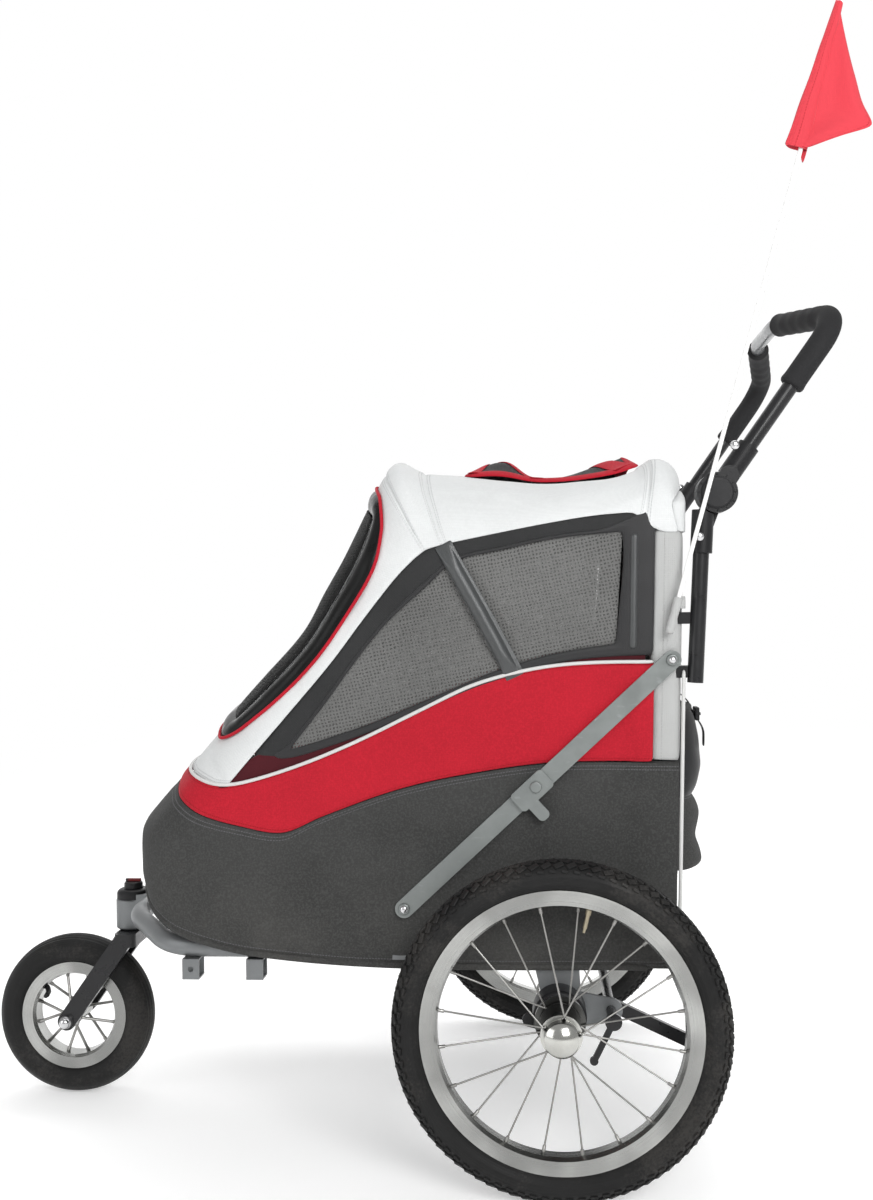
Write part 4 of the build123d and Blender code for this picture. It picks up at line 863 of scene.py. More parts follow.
def coated(name, rgb, roughness=0.35, metallic=0.0, coat=0.0, grain=0.0, pebble=1.2, scuff=0.3, uneven=0.08,
           spread=0.12, spec=0.5):
    """Paint, plastic, rubber or metal: cloudy polish, fine scuffs and, where asked, a moulded grain."""
    if name in made_finishes:
        return made_finishes[name]
    made, tree, shader, coords = bare_finish(name, Metallic=metallic, Coat_Weight=coat,
                                             Coat_Roughness=0.15, Specular_IOR_Level=spec)
    place = coords["Object"]
    wear = use(tree, "wear", Place=place, Scuff=scuff)
    tone = blend_colours(tree, wear["Polish"], colour(rgb, 1 - uneven), colour(rgb, 1 + uneven))
    base = blend_colours(tree, calc(tree, "MULTIPLY", wear["Scuffs"], 0.35), tone, colour(rgb, 1.8))
    polish = remap(tree, wear["Polish"], 0.0, 1.0, roughness - spread / 2, roughness + spread / 2)
    dull = calc(tree, "ADD", polish, calc(tree, "MULTIPLY", wear["Scuffs"], 0.15))
    bumps = [(wear["Scuffs"], 0.00004, 0.3)]
    if grain:
        bumps.append((use(tree, "grain", Place=place, Pebble=pebble * MM)["Height"], 0.0003, grain))
    dressed(tree, shader, bumps, Base_Color=base, Roughness=dull)
    return made


def off_axle(tree, place, centre):
    """Distance from an axle that runs along Y through a centre in millimetres."""
    moved = wire(tree, "Mapping", {0: place, 1: [-c * MM for c in centre]}).outputs[0]
    flat = wire(tree, "VectorMath", {0: moved, 1: (1.0, 0.0, 1.0)}, operation="MULTIPLY")
    return wire(tree, "VectorMath", {0: flat.outputs[0]}, operation="LENGTH").outputs["Value"]


def brushed(name, rgb, roughness=0.25, centre=None, depth=0.4, streak=900.0, painted_reflection=0.0):
    """Turned or brushed metal: fine streaks that run round an axle, or along X with no centre; where asked,
    dark patches of painted reflection.
    """
    made, tree, shader, coords = bare_finish(name, Metallic=1.0)
    place = coords["Object"]
    if centre:
        line = wire(tree, "CombineXYZ", {
            0: calc(tree, "MULTIPLY", off_axle(tree, place, centre), streak),
            1: calc(tree, "MULTIPLY", coordinate(tree, place, 1), streak)}).outputs[0]
    else:
        line = wire(tree, "Mapping", {0: place, 3: (12.0, streak, streak)}).outputs[0]
    streaks = clouds(tree, line, 1.0, 3.0)
    wear = use(tree, "wear", Place=place, Scuff=0.4)
    base = blend_colours(tree, wear["Polish"], colour(rgb, 0.9), colour(rgb, 1.06))
    # Painted reflection: darker patches on the metal stand in for the surroundings it reflects
    if painted_reflection:
        patches = remap(tree, clouds(tree, place, 11.0, 1.5), 0.40, 0.62, painted_reflection, 0.0)
        base = blend_colours(tree, patches, base, colour(rgb, 0.35))
    base = blend_colours(tree, remap(tree, streaks, 0.35, 0.65, 0.0, 0.3), base, colour(rgb, 0.72))
    dressed(tree, shader, [(streaks, 0.00003, depth), (wear["Scuffs"], 0.00003, 0.3)], Base_Color=base,
            Roughness=calc(tree, "MULTIPLY_ADD", streaks, 0.18, roughness - 0.08))
    return made


# ---------------------------------------------------------------- cloth
TUB_CREASES = (((-126, 405), (345, 397), 3.5, -2.2), ((-60, 262), (16, 322), 9, 3.3),
               ((60, 268), (26, 318), 8, 2.7), ((28, 322), (120, 372), 10, -2.7),
               ((14, 330), (-70, 392), 11, 2.8), ((-250, 300), (-150, 396), 13, 3.3),
               ((-215, 290), (-95, 372), 10, -2.7), ((-290, 330), (-215, 420), 12, -2.5),
               ((170, 262), (330, 330), 16, 2.5), ((200, 480), (320, 408), 12, -2.2),
               ((-100, 330), (60, 392), 9, 3.6), ((-180, 285), (-60, 330), 9, -3.3),
               ((90, 300), (170, 400), 12, 3.4), ((210, 300), (290, 440), 13, -3.3),
               ((225, 420), (335, 455), 11, 3.3))
BAND_CREASES = (((-60, 430), (60, 545), 12, 1.1), ((150, 500), (210, 600), 13, -1.2),
                ((235, 500), (320, 590), 15, 1.3), ((-235, 470), (-120, 430), 11, -2.0),
                ((-190, 425), (-90, 480), 9, 1.8), ((-40, 450), (10, 530), 10, -1.8),
                ((90, 495), (120, 580), 9, 1.5))
CANOPY_CREASES = (((66, 838), (190, 812), 8, 2.6), ((90, 826), (250, 842), 10, -2.2),
                  ((-70, 690), (-20, 700), 7, -2.4), ((-90, 640), (-40, 668), 6, 2.2),
                  ((-160, 575), (-120, 600), 8, -2.0), ((-150, 590), (-105, 572), 6, 1.8),
                  ((252, 838), (322, 800), 9, 2.2), ((230, 800), (322, 822), 9, -1.8))
POUCH_CREASES = (((-110, 380), (20, 440), 14, -3.0), ((120, 375), (30, 440), 12, -3.0),
                 ((-40, 360), (60, 420), 11, 2.6), ((-90, 470), (10, 540), 12, -2.6),
                 ((100, 480), (30, 545), 12, 2.2))
CABIN_MIDDLE = (60, 0, 560)


def tub_columns():
    """The tub's columns from the left rear, round the nose, to the right rear."""
    straight, curved = 60, 32
    left = [-2 + k / straight for k in range(straight)]
    nose = [-1 + k / curved for k in range(2 * curved + 1)]
    return left + nose + [-s for s in reversed(left)]


def tub_panel(low, high, rows, waves, back=-20.0):
    """The tub's cloth between two sewn lines, moved by its waves."""
    made, columns = fresh(), tub_columns()
    ends = [(on_line(s, low, back), on_line(s, high, back)) for s in columns]
    run = running([tub_place(s, 400) for s in columns])

    def place(i, j):
        z0, z1 = ends[i]
        return tub_place(columns[i], z0 + (z1 - z0) * j / (rows - 1), back)

    def sewn(i, j):
        z0, z1 = ends[i]
        return run[i], min(j, rows - 1 - j) * (z1 - z0) / (rows - 1)

    cloth_grid(made, len(columns), rows, place, sewn, away_from(0, 0, 420))
    ruffled(made, waves)
    return made


def outward_of(s):
    """Level direction that faces away from the tub's wall at a column."""
    run = tub_place(s + 0.01, 440) - tub_place(s - 0.01, 440)
    return Vector((-run.y, run.x, 0)).normalized()


class STROLLER_OT_tub(Operator):
    """Charcoal tub and red band, with the piping and the hem sewn along them"""
    bl_idname = "stroller.tub"
    bl_label = "Tub"

    def execute(self, context):
        cloth = context.scene.stroller_cloth

        def tub_waves(p):
            lift = 2.2 * rough(p, 75) + 0.9 * rough(p, 30, 2) + 0.3 * rough(p, 12, 5)
            lift -= 4.5 * ease((hem_z(p.x) + 26 - p.z) / 26)                # tucked in under the rails
            lift -= 1.6 * bump(p.z, red_z(p.x) - 4, 9)                      # seam with the red band
            lift += 1.6 * sin(p.y / 38.0) * ease((-p.x - 250) / 60) * ease((p.z - 300) / 60)
            return (lift + creases(p, TUB_CREASES)) * cloth.slack

        def band_waves(p):
            lift = 1.0 * rough(p, 85, 7) + 0.35 * rough(p, 26, 9) + 1.4
            lift -= 1.8 * bump(p.z, red_z(p.x), 8) + 1.5 * bump(p.z, piping_z(p.x), 8)
            return (lift + creases(p, BAND_CREASES)) * cloth.slack

        sewn_piece("tub", tub_panel(hem_z, red_z, 26, tub_waves, 11.0), charcoal_cloth(cloth, (5.0, 9.0)),
                   "charcoal_fabric", "skirt")
        sewn_piece("red_panel", tub_panel(red_z, piping_z, 15, band_waves), red_cloth(cloth, (4.0,)),
                   "red_fabric", "red_band")

        radius, columns = cloth.piping_radius / MM, tub_columns()[::2]
        made = fresh()
        tube_along(made, [tub_place(s, on_line(s, piping_z)) + outward_of(s) * (radius - 1.2)
                          for s in columns], radius, sides=8)
        sewn_piece("piping_cord", made, piping_cord(cloth), "white_fabric", wall=0)

        made = fresh()
        tube_along(made, [tub_place(s, on_line(s, hem_z) + 2) - outward_of(s) * 4.0 for s in columns],
                   3.2, sides=8, flat=1.4)
        sewn_piece("tub_hem", made, charcoal_cloth(cloth), "charcoal_fabric", wall=0)
        return {"FINISHED"}


class STROLLER_OT_canopy(Operator):
    """Light canopy: one sheet over the front, the bow and the roof, and the header over the rear door"""
    bl_idname = "stroller.canopy"
    bl_label = "Canopy"

    def execute(self, context):
        cloth, windows = context.scene.stroller_cloth, context.scene.stroller_windows
        seams = [canopy_key(-14), canopy_key(40), canopy_key(331)]
        openings = ((WINDOW_FOOT + 16, WINDOW_HEAD - 16, 192.0),
                    (HATCH_FRONT + 9, HATCH_REAR - 9, windows.hatch_half_width / MM - 9))
        start = canopy_key(-240)

        # Rows: every 10 mm, and at both sides of each seam and at each end of an opening
        fixed = [start]
        while fixed[-1] < canopy_middle.end - 4:
            fixed.append(fixed[-1] + 10)
        fixed[-1] = canopy_middle.end
        for seam in seams:
            fixed = [u for u in fixed if abs(u - seam) > 5] + [seam - 2.4, seam, seam + 2.4]
        for cut in (end for low, high, _ in openings for end in (low, high)):
            fixed = [u for u in fixed if abs(u - cut) > 4.5] + [cut]
        fixed.sort()

        # Columns: distances from the middle, then shares of the way down from the shoulder
        sharp = [side for _, _, side in openings] + [SHOULDER_START]
        across = sorted([12.0 * k for k in range(17)
                         if 12.0 * k in sharp or min(abs(12.0 * k - y) for y in sharp) > 4] + sharp)
        flank = 13
        half = [(y, 0.0) for y in across] + [(SHOULDER_START, (k + 1) / flank) for k in range(flank)]
        columns = [(-y, below) for y, below in reversed(half[1:])] + half
        lead = 8                          # rows between the piping and the first fixed row

        def first_row(y, below):
            u = 4.0
            while u < start:
                point = canopy_place(u, y, below)
                if point.z >= piping_z(point.x) - 1:
                    break
                u += 1.5
            return u

        firsts = [first_row(y, below) for y, below in columns]

        def key_at(i, j):
            return fixed[j - lead] if j >= lead else firsts[i] + (start - firsts[i]) * j / lead

        run = running([canopy_place(600, *column) for column in columns])

        def sewn(i, j):
            u = key_at(i, j)
            return run[i], min([abs(u - seam) for seam in seams] + [u - firsts[i]])

        def waves(p, u, y, below):
            lift = 1.5 * rough(p, 80, 4) + 0.6 * rough(p, 30, 6) + 0.2 * rough(p, 13, 8)
            for seam in seams:
                lift -= 2.4 * bump(u, seam, 3.0)
                lift += 1.1 * bump(u, seam + 8, 9) + 1.1 * bump(u, seam - 8, 9)
            lift += creases(p, CANOPY_CREASES) - 2.0 * bump(u, firsts[0], 10) * (below > 0)
            low = ease((below - 0.8) / 0.14)
            lift = lift * (1 - low) + 0.6 * low
            # Over the back frame's top
            lift += (3.4 + 2.8 * bump(abs(y), 192, 62)) * ease((p.x - 318) / 14) * (1 - below)
            if abs(y) < 200:
                lift += 2.0 * sin(p.y / 24.0) * bump(u, canopy_key(120), 70) * (1 - ease(abs(y) / 180))
            return lift * cloth.slack

        made = fresh()
        node = cloth_grid(made, len(columns), lead + len(fixed),
                          lambda i, j: canopy_place(key_at(i, j), *columns[i]), sewn,
                          away_from(*CABIN_MIDDLE))
        keys = {vert: (key_at(i, j), *columns[i]) for (i, j), vert in node.items()}
        ruffled(made, waves, keys)
        cuts = []
        for face in made.faces:
            us, ys, belows = zip(*(keys[vert] for vert in face.verts))
            for low, high, side in openings:
                if max(belows) <= 0 and low < sum(us) / 4 < high and abs(sum(ys) / 4) < side:
                    cuts.append(face)
        bmesh.ops.delete(made, geom=cuts, context="FACES")
        sewn_piece("canopy_sheet", made, light_cloth(cloth, (4.0, 7.5)), "white_fabric", "canopy")

        rim = [(-SHOULDER_START, 1 - k / 12) for k in range(12)]
        rim += [(-SHOULDER_START + 10 * k, 0.0) for k in range(41)]
        rim += [(SHOULDER_START, k / 12) for k in range(1, 13)]
        rim = [canopy_place(canopy_middle.end, y, below) for y, below in rim]

        def header_place(i, j):
            edge = rim[min(i + 1, len(rim) - 1)] - rim[max(i - 1, 0)]
            q = rim[i] + Vector((0, edge.z, -edge.y)).normalized() * (0.5, 1.5, 8, 15, 22, 29)[j]
            if j == 0:
                return q + Vector((-2.0, 0, 0))
            return Vector((on_back(q.z - HINGE.z, 14.4 + 1.2 * (j == 1)).x, q.y, q.z))

        made = sheet(len(rim), 6, header_place, lambda i, j: (i * 9.8, min(j, 5 - j) * 7.0), (1, 0, 0))
        ruffled(made, lambda p: 0.8 * rough(p, 40, 3))
        sewn_piece("rear_header", made, light_cloth(cloth), "white_fabric")
        return {"FINISHED"}


def rounded_path(ends, half, inset, corner):
    """Closed path round a rectangle with round corners, as (u, across); always the same number of points."""
    count, steps = 10, 26                 # steps round a corner, and along a side
    radius = max(corner - inset, 5.0)
    low, high, side = ends[0] + inset + radius, ends[1] - inset - radius, half - inset - radius
    middles = (Vector((low, -side)), Vector((high, -side)), Vector((high, side)), Vector((low, side)))
    path = []
    for turn, middle in enumerate(middles):
        for k in range(count + 1):
            a = radians(180 + 90 * turn + 90 * k / count)
            path.append(middle + Vector((cos(a), sin(a))) * radius)
        a = radians(270 + 90 * turn)
        following = middles[(turn + 1) % 4] + Vector((cos(a), sin(a))) * radius
        path += [path[-1].lerp(following, k / steps) for k in range(1, steps)]
    return path


def skin_ring(ends, half, corner, profile, lift_at, skin=canopy_skin):
    """A band that follows a rounded rectangle on the canopy; profile lists (inset, lift) across it."""
    made = fresh()
    paths = [rounded_path(ends, half, inset, corner) for inset, _ in profile]
    count = len(paths[0])

    def place(i, j):
        u, y = paths[j][i % count]
        return skin(u, y, profile[j][1] + lift_at(u, y))

    cloth_grid(made, count + 1, len(profile), place, toward=away_from(*CABIN_MIDDLE), closed=True)
    return made


def skin_patch(ends, half, inset, columns, rows, place, toward):
    """A sheet on the canopy, inset from a rectangle; place takes u, across, and the shares of the way."""
    made = fresh()

    def at(i, j):
        s, t = i / (columns - 1), j / (rows - 1)
        return place((ends[0] + inset) * (1 - t) + (ends[1] - inset) * t, (inset - half) * (1 - 2 * s), s, t)

    cloth_grid(made, columns, rows, at, toward=toward)
    return made


def skin_noise(u, y, size, seed):
    return noise.noise(Vector((u / size, y / size, seed)))


def wrapped(u, run, lift=0.0):
    """Point on the canopy at a running length round its shoulder; wider halfway up the front window."""
    t = (u - WINDOW_FOOT) / (WINDOW_HEAD - WINDOW_FOOT)
    run *= 1 + 0.15 * ease(4.0 * t * (1 - t) * 0.9) - 0.015 * t
    y, _ = shoulder(min(abs(run), shoulder.end - 3))
    return canopy_skin(u, y if run >= 0 else -y, lift)


class STROLLER_OT_front_window(Operator):
    """Front window: black binding, red piping round it and netting inside, on the flap that opens"""
    bl_idname = "stroller.front_window"
    bl_label = "Front window"

    def execute(self, context):
        cloth, windows = context.scene.stroller_cloth, context.scene.stroller_windows
        half, border = windows.front_half_width / MM, windows.front_border / MM
        corner, ends, body = windows.front_corner / MM, (WINDOW_FOOT, WINDOW_HEAD), "front_flap"
        vinyl = coated("Window vinyl", (0.007, 0.007, 0.007), roughness=0.34, coat=0.05, spec=0.14,
                       grain=0.25, pebble=1.6, scuff=0.8, spread=0.2)
        profile = [(0, 0.4), (2, 2.4), (6, 4.8), (12, 6.2), (19, 5.8), (25, 4.0), (30, 1.4), (border, -1.6)]
        made = skin_ring(ends, half, corner, profile, lambda u, y: (
            1.1 * skin_noise(u, y, 34, 1.5) + 0.7 * skin_noise(u, y, 11, 7.5)), wrapped)
        sewn_piece("front_binding", made, vinyl, "border_fabric", "front_window", body, 1.4)

        made = fresh()
        path = [wrapped(u, y, 2.4) for u, y in rounded_path(ends, half, -1.8, corner)]
        tube_along(made, path, 2.3, sides=8, closed=True)
        sewn_piece("front_piping", made, red_cloth(cloth), "red_fabric", body=body, wall=0)

        def net_place(u, y, s, t):
            sag = 5.0 * ease((min(s, 1 - s) - 0.06) / 0.3) * ease(min(t, 1 - t) / 0.3)
            return wrapped(u, y, 3.0 - sag + 0.5 * skin_noise(u, y, 60, 3))

        made = skin_patch(ends, half, border - 3, 35, 45, net_place, away_from(*CABIN_MIDDLE))
        net = netting("Front netting", (0.009, 0.009, 0.009), (1, 2), windows.hole / MM, 0.55, stretch=1.22,
                      veil=0.7)
        sewn_piece("front_netting", made, net, "netting", "front_mesh", body, 0.5, fine=False)
        return {"FINISHED"}


class STROLLER_OT_roof_hatch(Operator):
    """Roof hatch: red edging and a red cross band over black netting that stands up in two lobes"""
    bl_idname = "stroller.roof_hatch"
    bl_label = "Roof hatch"

    def execute(self, context):
        cloth, windows = context.scene.stroller_cloth, context.scene.stroller_windows
        half, border = windows.hatch_half_width / MM, windows.hatch_border / MM
        rise = windows.hatch_rise / MM
        u0, u1, dip = HATCH_FRONT, HATCH_REAR, canopy_key(187)

        def lobes(u, y):
            inner = 1 - ease((abs(y) - 48) / (half - 50))
            first = ease((u - u0 + 4) / 50) * ease((dip + 2 - u) / 46)
            second = ease((u - dip - 4) / 105) * ease((u1 + 16 - u) / 34) * 0.98
            return rise * (first + second) * (0.22 + 0.78 * inner)

        profile = [(0, 0.3), (1.5, 2.8), (border / 2, 5.2), (border - 2, 6.4), (border, 3.0)]
        sewn_piece("hatch_edging", skin_ring((u0, u1), half, 24, profile, lobes), red_cloth(cloth),
                   "red_fabric", "roof_hatch", wall=1.4)

        made = skin_patch((u0, u1), half, border - 3, 33, 49, lambda u, y, s, t: canopy_skin(
            u, y, 4.2 + lobes(u, y) * 0.98 + 0.7 * skin_noise(u, y, 30, 9)), (0, 0, 1))
        net = netting("Roof netting", (0.016, 0.015, 0.015), (0, 1), windows.hole / MM, 0.6, veil=0.85)
        sewn_piece("hatch_netting", made, net, "netting", wall=0.6, fine=False)

        for name, path, width in (
                ("hatch_band", ((dip + 3, half - 7), (dip - 2, half - 30), (dip - 42, 34), (dip - 48, 0)),
                 24),
                ("hatch_tape_front", ((u0 + 12, half - 8), (u0 + 22, 52), (u0 + 26, 0)), 17),
                ("hatch_tape_rear", ((u1 - 22, half - 8), (u1 - 50, 46), (u1 - 54, 0)), 30)):
            line, count = Line([(u, -y) for u, y in path] + list(path[-2::-1])), 46

            def strap_place(i, j):
                at = line.end * i / (count - 1)
                (u, y), way, off = line(at), line.way(at), (j / 4 - 0.5) * width
                u, y = u - way.y * off, y + way.x * off
                return canopy_skin(u, y, 5.4 + lobes(u, y) + 1.0 * (1 - (j / 2 - 1) ** 2))

            made = sheet(count, 5, strap_place, toward=(0, 0, 1))
            sewn_piece(name, made, red_cloth(cloth), "red_fabric", wall=1.2)
        return {"FINISHED"}


def spaced_runs(runs, counts):
    """One closed loop of points, (x, z), through runs that meet at corners."""
    return [p for run, count in zip(runs, counts) for p in Line(run).spaced(count + 1)[:-1]]


class STROLLER_OT_side_windows(Operator):
    """Side windows: wide binding, black edge tape, netting, the sill below and the bow's sleeve over them"""
    bl_idname = "stroller.side_windows"
    bl_label = "Side windows"

    def execute(self, context):
        cloth, windows = context.scene.stroller_cloth, context.scene.stroller_windows
        counts = (56, 18, 62)
        outer = spaced_runs((SILL_RUN, REAR_RUN, TOP_RUN), counts)
        inner = spaced_runs((NET_SILL, NET_REAR, NET_TOP), counts)
        count, middle = len(outer), Vector((120, 660))
        outer = [p + (p - middle).normalized() * 5 for p in outer]
        # How much of the binding the black tape covers: most of it along the rear, a sliver elsewhere
        reach = [1.0 - 0.85 * max(ease(((k - counts[0]) / counts[1] - 1.02) * 5), ease((4 - k) / 6))
                 for k in range(count)]

        def ring(part, side, share, lift, waves):
            """A band seven nodes wide; share(i, j) runs from the outer edge to the netting's."""
            def place(i, j):
                p = outer[i % count].lerp(inner[i % count], share(i % count, j))
                return Vector((p[0], side * lift(j), p[1]))

            cloth_grid(part, count + 1, 7, place, toward=(0, side, 0), closed=True)
            ruffled(part, waves)

        def binding(part, side):
            ring(part, side, lambda i, j: j / 6,
                 lambda j: 238.8 + 1.2 * (1 - (j / 3 - 1) ** 2) - 2.4 * (j == 0) - 1.0 * (j == 1),
                 lambda p: 0.4 * rough(p, 45, 3))

        def tape(part, side):
            ring(part, side, lambda i, j: 1 - (reach[i] * (j / 6) - 0.02),
                 lambda j: 239.6 + (0.2, 1.2, 1.5, 1.2, 1.5, 1.2, 0.0)[j],
                 lambda p: 0.5 * rough(p, 24, 17) * ease((p.x - 275) / 10))

        def net(part, side):
            columns, rows = 57, 21
            low, high = Line(NET_SILL).spaced(columns), Line(NET_TOP[::-1]).spaced(columns)

            def place(i, j):
                s, t = i / (columns - 1), j / (rows - 1)
                p = low[i].lerp(high[i], t)
                sag = 5.0 * min(5 * t * (1 - t), 1) * min(6 * s * (1 - s), 1)
                return Vector((p[0], side * (238.2 - sag), p[1]))

            cloth_grid(part, columns, rows, place, toward=(0, side, 0), closed=True)
            ruffled(part, lambda p: 0.8 * rough(p, 55, 11))

        def sill(part, side):
            def place(i, j):
                x = -206 + 520 * i / 52
                top, low = SILL_LINE(x) + 2, piping_z(x) - 3
                return Vector((x, side * (238.4 + 0.6 * (1 - j / 4)), low + max(top - low, 0.5) * j / 4))

            cloth_grid(part, 53, 5, place, lambda i, j: (i * 10.0, j * 6.0), (0, side, 0))

        def rear_cord(part, side):
            line = [(299 + 0.03 * k, side * 240.2, 628 + k) for k in range(0, 142, 6)]
            tube_along(part, line, 4.6, flat=0.8, up=(0, side, 0))
            outward(part)

        def bow_sleeve(part, side):
            line = Line(BOW_LINE)

            def place(i, j):
                p, way = line(line.end * i / 30), line.way(line.end * i / 30)
                off, lift = ((-9.6, 0.2), (-9.0, 2.4), (-7.2, 5.2), (-4.0, 7.4), (0, 8.2), (4.0, 7.2),
                             (7.2, 4.6), (8.8, 2.0), (9.6, 1.6), (12.5 + 2.0 * i / 30, 1.4))[j]
                lift = min(lift, 0.4 + 1.4 * i, 0.4 + 1.6 * (30 - i))
                return Vector((p[0] - way[1] * off, side * (240.4 + lift), p[1] + way[0] * off))

            cloth_grid(part, 31, 10, place, lambda i, j: (i * 6.0, j * 3.0), (0, side, 0))
            ruffled(part, lambda p: 0.35 * rough(p, 20, 13))

        sewn_piece("window_binding", on_both_sides(binding), binding_tape(cloth), "border_fabric",
                   "side_windows")
        sewn_piece("window_tape", on_both_sides(tape), black_tape(), "border_fabric", wall=1.0)
        side_net = netting("Side netting", windows.net, (0, 2), windows.hole / MM, windows.threads, tilt=0.2)
        sewn_piece("window_netting", on_both_sides(net), side_net, "netting", "side_mesh", wall=0.4,
                   fine=False)
        # Painted shade: the sill is red cloth, given a dark maroon for the shade it lies in below the netting
        shaded_sill = woven("Shaded sill cloth", cloth.shaded_sill, uneven=0.15)
        sewn_piece("window_sill", on_both_sides(sill), shaded_sill, "red_fabric", wall=1.2)
        satin = woven("Satin sleeve", (0.034, 0.037, 0.038), thread=0.9, roughness=0.36, spec=0.7,
                      wrinkle=0.0003)
        sewn_piece("bow_sleeve", on_both_sides(rear_cord, bow_sleeve), satin, "border_fabric", wall=1.2)
        return {"FINISHED"}


# The rear door, along the back frame: its heights, half its width, and how far it lies behind the frame
DOOR_LOW, DOOR_HIGH, DOOR_HALF, DOOR_X = 25.0, 481.0, 207, 5.0
DOOR_SPLIT = 186.0                    # where the charcoal part ends
HATCH = "rear_hatch"
# The pouch is a grid pulled out from the door in two lobes, open at its gathered top edge
POUCH_PROFILE = Line([(6, 26), (24, 19), (42, 18), (51, 24), (49, 40), (43, 58), (45, 76), (46.5, 90),
                      (41, 106), (37, 112), (42, 119), (46, 134), (47.5, 160), (45, 192), (40, 212),
                      (34, 226)])
POUCH_COLUMNS, POUCH_ROWS = 57, 49
POUCH_NOTCH = 27                      # the row where the lobes meet


def door_panel(cloth):
    """The charcoal part of the rear door."""
    def panel_place(i, j):
        s, t = i / 52, j / 21
        bow = 2.0 * min(5 * s * (1 - s), 1) * min(5 * t * (1 - t), 1)
        p = on_back(DOOR_LOW + (DOOR_SPLIT - DOOR_LOW) * t, DOOR_X + 1.2 + bow, DOOR_HALF * (2 * s - 1))
        return p + Vector((1.6 * rough(p, 46, 21) + 0.64 * rough(p, 17, 23), 0, 0))

    step = (DOOR_SPLIT - DOOR_LOW) / 21
    made = sheet(53, 22, panel_place, lambda i, j: (i * 2 * DOOR_HALF / 52, min(j, 21 - j) * step), (1, 0, 0))
    sewn_piece("door_lower", made, charcoal_cloth(cloth, (5.0,)), "charcoal_fabric", "rear_door", HATCH)


def frame_loop(side, foot, top, radius):
    """Closed loop of (across, height) round a rectangle with round corners."""
    corners = [Vector(c) for c in ((-side, foot), (side, foot), (side, top), (-side, top))]
    loop = []
    for k, corner in enumerate(corners):
        after = corners[(k + 1) % 4]
        a = corner + (corners[k - 1] - corner).normalized() * radius
        b = corner + (after - corner).normalized() * radius
        loop += [a * (1 - t) ** 2 + corner * 2 * t * (1 - t) + b * t ** 2
                 for t in (n / 6 for n in range(7))]
        following = after + (corner - after).normalized() * radius
        loop += [b.lerp(following, step / 14) for step in range(1, 14)]
    return loop


def door_window(cloth, windows):
    """The upper door: a light border with tape and zip, and netting inside it."""
    outside = frame_loop(DOOR_HALF, DOOR_SPLIT, DOOR_HIGH, 6)
    inside = frame_loop(172, DOOR_SPLIT + 30, DOOR_HIGH - 34, 26)
    count = len(outside)

    def border_place(i, j):
        q = outside[i % count].lerp(inside[i % count], j / 5)
        p = on_back(q[1], DOOR_X + 1.4 + 1.6 * (1 - (j / 2.5 - 1) ** 2), q[0])
        return p + Vector((0.8 * rough(p, 30, 25), 0, 0))

    made = sheet(count + 1, 6, border_place, lambda i, j: (i * 12.0, min(j, 5 - j) * 6.5), (1, 0, 0), True)
    sewn_piece("door_border", made, sleeve_cloth(cloth), "sleeve_fabric", body=HATCH)

    made = fresh()
    tube_along(made, [on_back(q[1], DOOR_X + 2.6, q[0]) for q in inside], 2.6, sides=8, closed=True,
               flat=0.6, up=(1, 0, 0))
    outward(made)
    sewn_piece("door_tape", made, black_tape(), "border_fabric", body=HATCH, wall=0)

    def zip_place(i, j):
        q = outside[i % count].lerp(inside[i % count], (0.02, 0.12, 0.22)[j])
        return on_back(q[1], DOOR_X + (1.6, 4.0, 1.6)[j], q[0])

    made = sheet(count + 1, 3, zip_place, toward=(1, 0, 0), closed=True)
    sewn_piece("door_zip", made, charcoal_cloth(cloth), "charcoal_fabric", body=HATCH, wall=1.0)

    def net_place(i, j):
        s, t = i / 40, j / 26
        sag = 4.0 * min(5 * s * (1 - s), 1) * min(5 * t * (1 - t), 1)
        p = on_back(DOOR_SPLIT + 27 + (DOOR_HIGH - 58 - DOOR_SPLIT) * t, DOOR_X + 1.2 - sag, -174 + 348 * s)
        return p + Vector((0.8 * rough(p, 60, 27), 0, 0))

    made = sheet(41, 27, net_place, toward=(1, 0, 0))
    net = netting("Rear netting", windows.net, (1, 2), windows.hole / MM, windows.threads)
    sewn_piece("door_netting", made, net, "netting", body=HATCH, wall=0.5, fine=False)


def pouch_place(i, j):
    """Node of the pouch's grid: i across it, j up it."""
    s, t = 2 * i / (POUCH_COLUMNS - 1) - 1, j / (POUCH_ROWS - 1)
    behind, h = POUCH_PROFILE(POUCH_PROFILE.end * t)
    edge = (1 - abs(s) ** 7) ** 0.5
    p = on_back(h - 6 * (1 - s * s) * t ** 3, 6 + 1.2 * (behind - 6) * edge, 160.0 * s * (0.97 + 0.03 * t))
    folds = 2.2 * rough(p, 48, 31) + 1.2 * rough(p, 20, 33)
    folds += 1.4 * sin(p.y / 13.0 + 1.7 * rough(p, 60, 35)) * ease((t - 0.8) / 0.15)
    folds += creases(Vector((p.y, 0, p.z)), POUCH_CREASES)
    return p + Vector((min(folds, 2.5) * edge * ease(t * 8), 0, 0))


